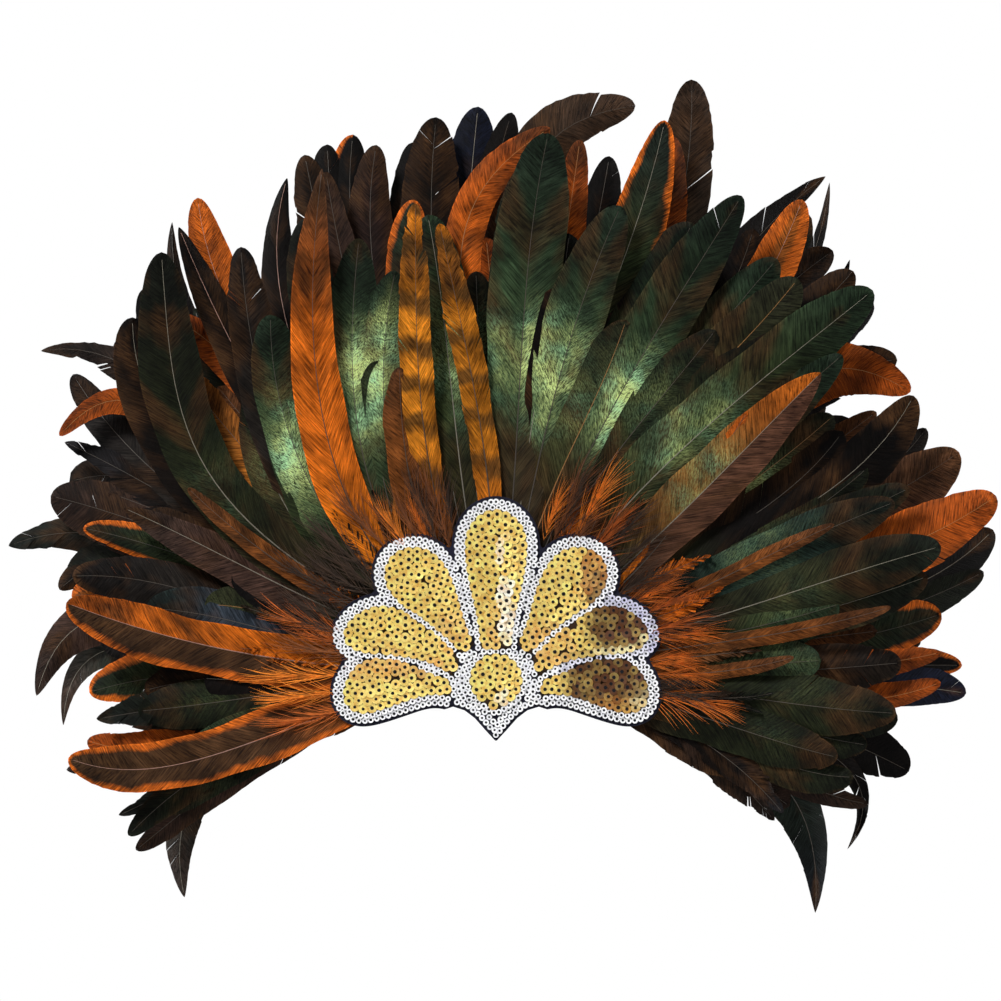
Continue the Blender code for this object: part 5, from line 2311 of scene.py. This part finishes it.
        def roomy(least: float, points: np.ndarray) -> np.ndarray:
            """Which points lie far enough inside this field and outside the others."""
            beside = np.max([clearance(points, other) for other in others], axis=0)
            return np.minimum(clearance(points, edge), -beside - self.channel) > least

        rows = [
            (outline(-inset), partial(roomy, min(self.gold_room, inset - 0.3)))
            for inset in np.arange(self.gold_edge, 20.0, self.gold_rows)
        ]
        laid = self.laid(rows, partial(roomy, self.gold_room), self.gold_pitch, self.gold_spacing)
        front = self.motif_rear - self.pad_thickness - self.gold_stand
        swell = self.puff * smooth(clearance(laid[:, :2], edge), 0.0, self.puff_reach)
        return self.marked(Film.GOLD, laid, front - swell, chance)

    def build_border(
        self,
        materials: tuple[bpy.types.Material, bpy.types.Material, bpy.types.Material],
        fields: Sequence[Outline],
        chance: np.random.Generator,
    ) -> None:
        """The border: a black ground, with silver sequins outside and between the petals.

        Args:
            materials: The film, the thread and the ground's felt.
            fields: The outlines of the gold fields.
            chance: Where its irregularities come from.
        """
        film, thread, felt = materials
        out = self.plan.border_width
        front = self.motif_rear - self.ground_thickness
        foot = self.plan.whole(out - 0.3)
        ground = lofted("border_sequins", [flat_ring(foot, self.motif_rear), flat_ring(foot, front)], felt)
        edges = [outline(0.0) for outline in fields]
        whole = self.plan.whole(out)

        def free(points: np.ndarray) -> np.ndarray:
            """Which points lie inside the border, and outside or just between the fields.

            Args:
                points: The points.

            Returns:
                True for each that does.
            """
            inside = np.sort([clearance(points, edge) for edge in edges], axis=0)
            between = (inside[-1] - inside[-2] < 0.3) & (inside[-1] < -0.1)
            return ((inside[-1] < -1.0) | between) & (clearance(points, whole) > self.silver_room)

        insets = self.silver_edge + self.silver_pitch * np.arange(8)
        outer, *inner = (self.plan.whole(out - inset) for inset in insets)
        beside = [outline(grow) for outline in fields for grow in self.silver_rows]
        rows = [(row, free) for row in (outer, *beside, *inner)]
        laid = self.laid(rows, free, self.silver_pitch, self.silver_spacing)
        inside = np.max([clearance(laid[:, :2], edge) for edge in edges], axis=0)
        raised = (self.pad_thickness - self.ground_thickness) * smooth(inside, -1.9, -1.3)
        places, knots = self.marked(Film.SILVER, laid, front - self.silver_stand - raised, chance)
        washer, knot = self.silver.washer("silver_washer"), self.silver.dot("knot")
        self.scatter.dress(ground, places, washer, film, self.tilt)
        self.scatter.dress(ground, knots, knot, thread)
        declare(ground, "silver_border")
        remove(washer, knot)

    @staticmethod
    def marked(
        film: Film, laid: np.ndarray, depths: np.ndarray, chance: np.random.Generator
    ) -> tuple[Places, Places]:
        """Marks the places of sequins and of their knots.

        Args:
            film: What they are cut from.
            laid: Across, up and the row's angle for each sequin.
            depths: Their depths.
            chance: Where their irregularities come from.

        Returns:
            The sequins' places and the knots'.
        """
        look = film.value
        places, knots = (Places(f"{film.name.lower()}_{kind}") for kind in ("places", "knots"))
        for (across, up, angle), depth in zip(laid, depths):
            # The sequin's colour, with the painted light and shade of its zone.
            tint = look.colour_at(across, up, chance)
            places.add((across, depth, up), (0.0, -angle, 0.0), chance.uniform(*look.sizes), tint)
            knots.add((across, depth, up), (0.0, 0.0, 0.0), chance.uniform(*look.knot_sizes))
        return places, knots

    @staticmethod
    def laid(rows: Sequence[tuple[np.ndarray, Test]], fits: Test, pitch: float, spacing: float) -> np.ndarray:
        """Places along rows, kept apart from one another, and then in what room they leave.

        Args:
            rows: Closed outlines, each with a test of which points may be used.
            fits: A test of which points may be used at last, wherever there is room.
            pitch: Distance along a row.
            spacing: The least distance from any other place.

        Returns:
            Across, up and the row's angle in radians for each place.
        """
        found = np.empty((MOST_SEQUINS, 3))
        count = 0
        for outline, allowed in rows:
            points, angles = walked(outline, WALK_STEP)
            usable = allowed(points)
            travelled = pitch
            for point, angle in zip(points[usable], angles[usable]):
                travelled += WALK_STEP
                gaps = np.hypot(*(found[:count, :2] - point).T)
                if travelled < pitch or (count and gaps.min() < spacing):
                    continue
                found[count] = (*point, angle)
                count += 1
                travelled = 0.0
        low, high = rows[0][0].min(axis=0), rows[0][0].max(axis=0)
        across, up = np.meshgrid(*(np.arange(low[axis], high[axis], SPARE_STEP) for axis in (0, 1)))
        spare = np.stack([across.ravel(), up.ravel()], axis=1)
        for point in spare[fits(spare)]:
            gaps = np.hypot(*(found[:count, :2] - point).T)
            if gaps.min() < spacing * 0.96:
                continue
            found[count] = (*point, found[int(gaps.argmin()), 2])
            count += 1
        return found[:count]


@dataclass
class HeadBand:
    """The head band: a loop of ribbed webbing, sewn to the backing plate and closed behind.

    Attributes:
        scatter: What sets the ribs and stitches.
        width: Height of the band.
        thickness: Thickness of its wall.
        half_front: Half the length of its flat front.
        corner_radius: Radius of its front corners.
        back_radius: Radius of its back.
        front: Depth of the front wall's inside.
        back: Depth of the back wall's inside.
        rib_pitch: Distance between ribs.
        front_stitches: Heights of the two seams that hold it to the backing.
        back_stitches: Where the seams that close it behind stand, across.
    """

    scatter: Scatter
    width: float = 25.0
    thickness: float = 2.0
    half_front: float = 32.0
    corner_radius: float = 43.0
    back_radius: float = 75.0
    front: float = -93.0
    back: float = 93.0
    rib_pitch: float = 1.5
    front_stitches: tuple[float, ...] = (-8.0, 8.0)
    back_stitches: tuple[float, ...] = (-9.0, -3.0, 3.0, 9.0)

    def path(self, offset: float) -> np.ndarray:
        """The loop seen from above.

        Args:
            offset: How far it is grown outwards.

        Returns:
            Its points, across and in depth.
        """
        corner_y = self.front + self.corner_radius
        back_y = self.back - self.back_radius
        arcs = (
            ((self.half_front, corner_y), self.corner_radius + offset, 180, 90, 16),
            ((0.0, back_y), self.back_radius + offset, 90, -90, 48),
            ((-self.half_front, corner_y), self.corner_radius + offset, 270, 180, 16),
        )
        return np.array([
            np.array(centre) + radius * direction(angle)
            for centre, radius, first, last, steps in arcs
            for angle in np.linspace(first, last, steps + 1)
        ])

    def build(self) -> None:
        """Builds the band as one piece."""
        webbing = ClothFinish("ribbed_webbing", (0.014, 0.014, 0.016), 1800.0, 0.85, 0.0002).material()
        thread = ClothFinish("band_thread", (0.030, 0.030, 0.034), 2600.0, 0.8, 0.0001).material()
        rings = [np.insert(self.path(offset), 2, up, axis=1) for offset, up in self.profile()]
        band = lofted("band_webbing", rings, webbing, closed=True)
        ribs = Places("rib_places")
        points, angles = walked(self.path(self.thickness / 2), self.rib_pitch)
        for (across, depth), angle in zip(points, angles):
            ribs.add((across, depth, 0.0), (0.0, 0.0, angle))
        rib, stitch = self.rib(), one_stitch()
        self.scatter.dress(band, ribs, rib, webbing)
        self.scatter.dress(band, self.seams(), stitch, thread, 3.0)
        declare(band, "head_band")
        remove(rib, stitch)

    def profile(self) -> list[tuple[float, float]]:
        """The wall's section: a web that is thinner than its two bound edges.

        Returns:
            Its points, as offsets outwards and heights.
        """
        half, wall = self.width / 2, self.thickness
        edge = ((0.35, 0.9), (0.0, 0.7), (0.0, 0.25), (0.3, 0.0))
        lower = [(out, below - half) for out, below in edge]
        lower += [(wall - out, up) for out, up in reversed(lower)]
        return lower + [(out, -up) for out, up in reversed(lower)]

    def seams(self) -> Places:
        """The seams' stitches.

        Returns:
            Those in front, and those that close the band behind, on both its faces.
        """
        seams = Places("seam_places")
        for up in self.front_stitches:
            for across in np.arange(-30.0, 31.0, 5.0):
                seams.add((across, self.front - 0.05, up), (0.0, 0.0, 0.0), 1.1)
        for across in self.back_stitches:
            for up in np.arange(-10.0, 11.0, 2.5):
                for depth in (self.back + self.thickness + 0.15, self.back - 0.1):
                    seams.add((across, depth, up), (0.0, math.radians(90.0), 0.0), 0.75)
        return seams

    def rib(self) -> bpy.types.Object:
        """One rib.

        Returns:
            An upright bar that shows on both faces of the wall.
        """
        wide, deep = self.rib_pitch * 0.40, self.thickness / 2 + 0.05
        front = ((-wide, -deep * 0.7), (0.0, -deep), (wide, -deep * 0.7))
        outline = np.array((*front, *((across, -depth) for across, depth in reversed(front))))
        top = self.width / 2 - 0.8
        return lofted("rib", [np.insert(outline, 2, up, axis=1) for up in (-top, top)])


def one_stitch() -> bpy.types.Object:
    """One stitch.

    Returns:
        A short thread that lies across and dips in at both ends.
    """
    angles = np.arange(6) * math.pi / 3
    rings = []
    for across, depth, radius in ((-1.5, 0.5, 0.18), (-1.1, 0.0, 0.28), (1.1, 0.0, 0.28), (1.5, 0.5, 0.18)):
        ring = (np.full(6, across), depth + radius * np.cos(angles), radius * np.sin(angles))
        rings.append(np.stack(ring, axis=1))
    return lofted("stitch", rings)


@dataclass
class BackingPlate:
    """The stiff felt behind the rows, with a whipped edge.

    Attributes:
        scatter: What sets the stitches.
        front: Depth of its front.
        rear: Depth of its rear.
        radius: Its radius.
        lowest: Height of its straight lower edge.
        stitch_pitch: Distance between the edge's stitches.
        stitch_slant: How far they slant from the edge's run.
    """

    scatter: Scatter
    front: float
    rear: float
    radius: float = 58.0
    lowest: float = -14.0
    stitch_pitch: float = 4.5
    stitch_slant: float = 70.0

    def build(self) -> None:
        """Builds the plate as one piece."""
        felt = ClothFinish("backing_felt_cloth", (0.010, 0.010, 0.014), 1200.0, 0.95, 0.0003).material()
        thread = ClothFinish("backing_thread", (0.040, 0.040, 0.044), 2600.0, 0.8, 0.0001).material()
        low = 90 + math.degrees(math.asin(-self.lowest / self.radius))
        outline = np.array([direction(angle) * self.radius for angle in np.linspace(-low, low, 72)])
        profile = ((-0.4, self.rear), (0.0, self.rear - 0.35), (0.0, self.front + 0.35), (-0.4, self.front))
        rings = [flat_ring(grown(outline, grow), depth) for grow, depth in profile]
        plate = lofted("backing", rings, felt)
        stitch = one_stitch()
        places = Places("whip_places")
        points, angles = walked(grown(outline, -1.6), self.stitch_pitch)
        for (across, up), angle in zip(points, angles):
            turn = (0.0, -angle + math.radians(self.stitch_slant), math.pi)
            places.add((across, self.rear - 0.05, up), turn)
        self.scatter.dress(plate, places, stitch, thread, 4.0)
        declare(plate, "backing_plate")
        remove(stitch)


@dataclass
class Studio:
    """Pale floor, soft light and the camera at the photograph's angle.

    Attributes:
        pixel: What one pixel of the photograph measures on the headband.
        origin_pixel: The photograph's pixel that shows the frame's origin.
        frame_pixels: The photograph's width and height.
        picture_depth: Depth of the plane that the scale holds for.
        lens: The camera's focal length.
        sensor: Width of its sensor.
        floor_height: Height of the floor.
        floor_radius: The floor's radius.
        floor_colour: Its colour.
        surround: How strongly the white surround lights the headband, 1 being as it shows.
        aim: The point that the lights face, in metres.
    """

    pixel: float = 0.5
    origin_pixel: tuple[float, float] = (496.0, 672.0)
    frame_pixels: float = 1001.0
    picture_depth: float = -85.0
    lens: float = 400.0
    sensor: float = 36.0
    floor_height: float = -330.0
    floor_radius: float = 900.0
    floor_colour: Colour = (0.55, 0.55, 0.55)
    surround: float = 0.075
    aim: tuple[float, float, float] = (0.0, -0.08, 0.09)

    def build(self) -> None:
        """Builds the floor, the lights and the camera."""
        self.add_floor()
        self.add_lights()
        self.add_camera()

    def add_floor(self) -> None:
        """A round pale floor below the headband."""
        mesh = bpy.data.meshes.new("floor")
        shape = bmesh.new()
        bmesh.ops.create_circle(shape, cap_ends=True, segments=96, radius=self.floor_radius * MM)
        bmesh.ops.translate(shape, verts=shape.verts, vec=(0.0, 0.0, self.floor_height * MM))
        shape.to_mesh(mesh)
        shape.free()
        floor = placed("floor", mesh)
        shader = Shader("pale_floor")
        grain = shader.noise(shader.object_place(), (30.0, 3.0, 0.5))
        pale = shader.shaded(self.floor_colour, shader.mapped(grain, (0.3, 0.7, 0.98, 1.02)))
        mesh.materials.append(shader.finish({"Base Color": pale, "Roughness": 0.9}))

    def add_lights(self) -> None:
        """Large soft lights, and a white surround that lights less than it shows."""
        # Each light's name, place and diameter in metres, and its power in watts.
        lights = (
            ("key_light", (-1.25, -2.25, 1.9), 0.8, 94.0),
            ("fill_light", (1.9, -2.0, 0.7), 1.6, 9.0),
            ("front_light", (0.0, -3.2, 0.3), 1.2, 6.0),
            ("top_light", (0.2, 0.6, 2.2), 1.4, 14.0),
            ("left_light", (-2.6, 0.4, 0.6), 1.6, 82.0),
            ("right_light", (2.6, 0.4, 0.6), 1.6, 82.0),
            ("back_light", (0.3, 2.6, 1.0), 1.6, 34.0),
        )
        for name, place, size, power in lights:
            light = bpy.data.lights.new(name, "AREA")
            light.energy = power
            light.shape = "DISK"
            light.size = size
            lamp = bpy.data.objects.new(name, light)
            lamp.location = place
            aim = Vector(self.aim) - Vector(place)
            lamp.rotation_euler = aim.to_track_quat("-Z", "Y").to_euler()
            bpy.context.scene.collection.objects.link(lamp)
        world = bpy.data.worlds.new("surround")
        world.use_nodes = True
        graph = Graph(world.node_tree)
        graph.tree.nodes.clear()
        seen = graph.add("ShaderNodeLightPath").outputs["Is Camera Ray"]
        strength = graph.mapped(seen, (0.0, 1.0, self.surround, 1.0))
        white = {"Color": (1.0, 1.0, 1.0, 1.0), "Strength": strength}
        background = graph.add("ShaderNodeBackground", white)
        graph.add("ShaderNodeOutputWorld", {"Surface": background.outputs[0]})
        bpy.context.scene.world = world
        bpy.context.scene.view_settings.view_transform = "Standard"

    def add_camera(self) -> None:
        """A long lens straight in front, framed as the photograph is."""
        camera = bpy.data.cameras.new("camera")
        camera.lens = self.lens
        camera.sensor_width = self.sensor
        middle = self.frame_pixels / 2
        across = (middle - self.origin_pixel[0]) * self.pixel
        up = (self.origin_pixel[1] - middle) * self.pixel
        distance = self.frame_pixels * self.pixel * self.lens / self.sensor
        mount = bpy.data.objects.new("camera", camera)
        mount.location = Vector((across, self.picture_depth - distance, up)) * MM
        mount.rotation_euler = (math.radians(90.0), 0.0, 0.0)
        camera.clip_end = 100.0
        bpy.context.scene.collection.objects.link(mount)
        bpy.context.scene.camera = mount


def main() -> None:
    """Builds the headband's pieces in order, then the studio."""
    logging.basicConfig(level=logging.INFO, format="%(name)s: %(message)s")
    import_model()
    backing_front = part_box("backing_plate")[0].y / MM
    surface = RowSurface(first_row=backing_front - ROW_STAND)
    scatter = Scatter()
    FeatherFan(surface, DownTufts(surface, scatter)).build()
    HeadBand(scatter).build()
    BackingPlate(scatter, backing_front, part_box("backing_plate")[1].y / MM).build()
    felt_low, felt_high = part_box("felt_base")
    motif_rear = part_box("silver_border")[1].y / MM
    SequinMotif(MotifPlan(), scatter, felt_low.y / MM, felt_high.y / MM, motif_rear).build()
    Studio().build()


if __name__ == "__main__":
    main()
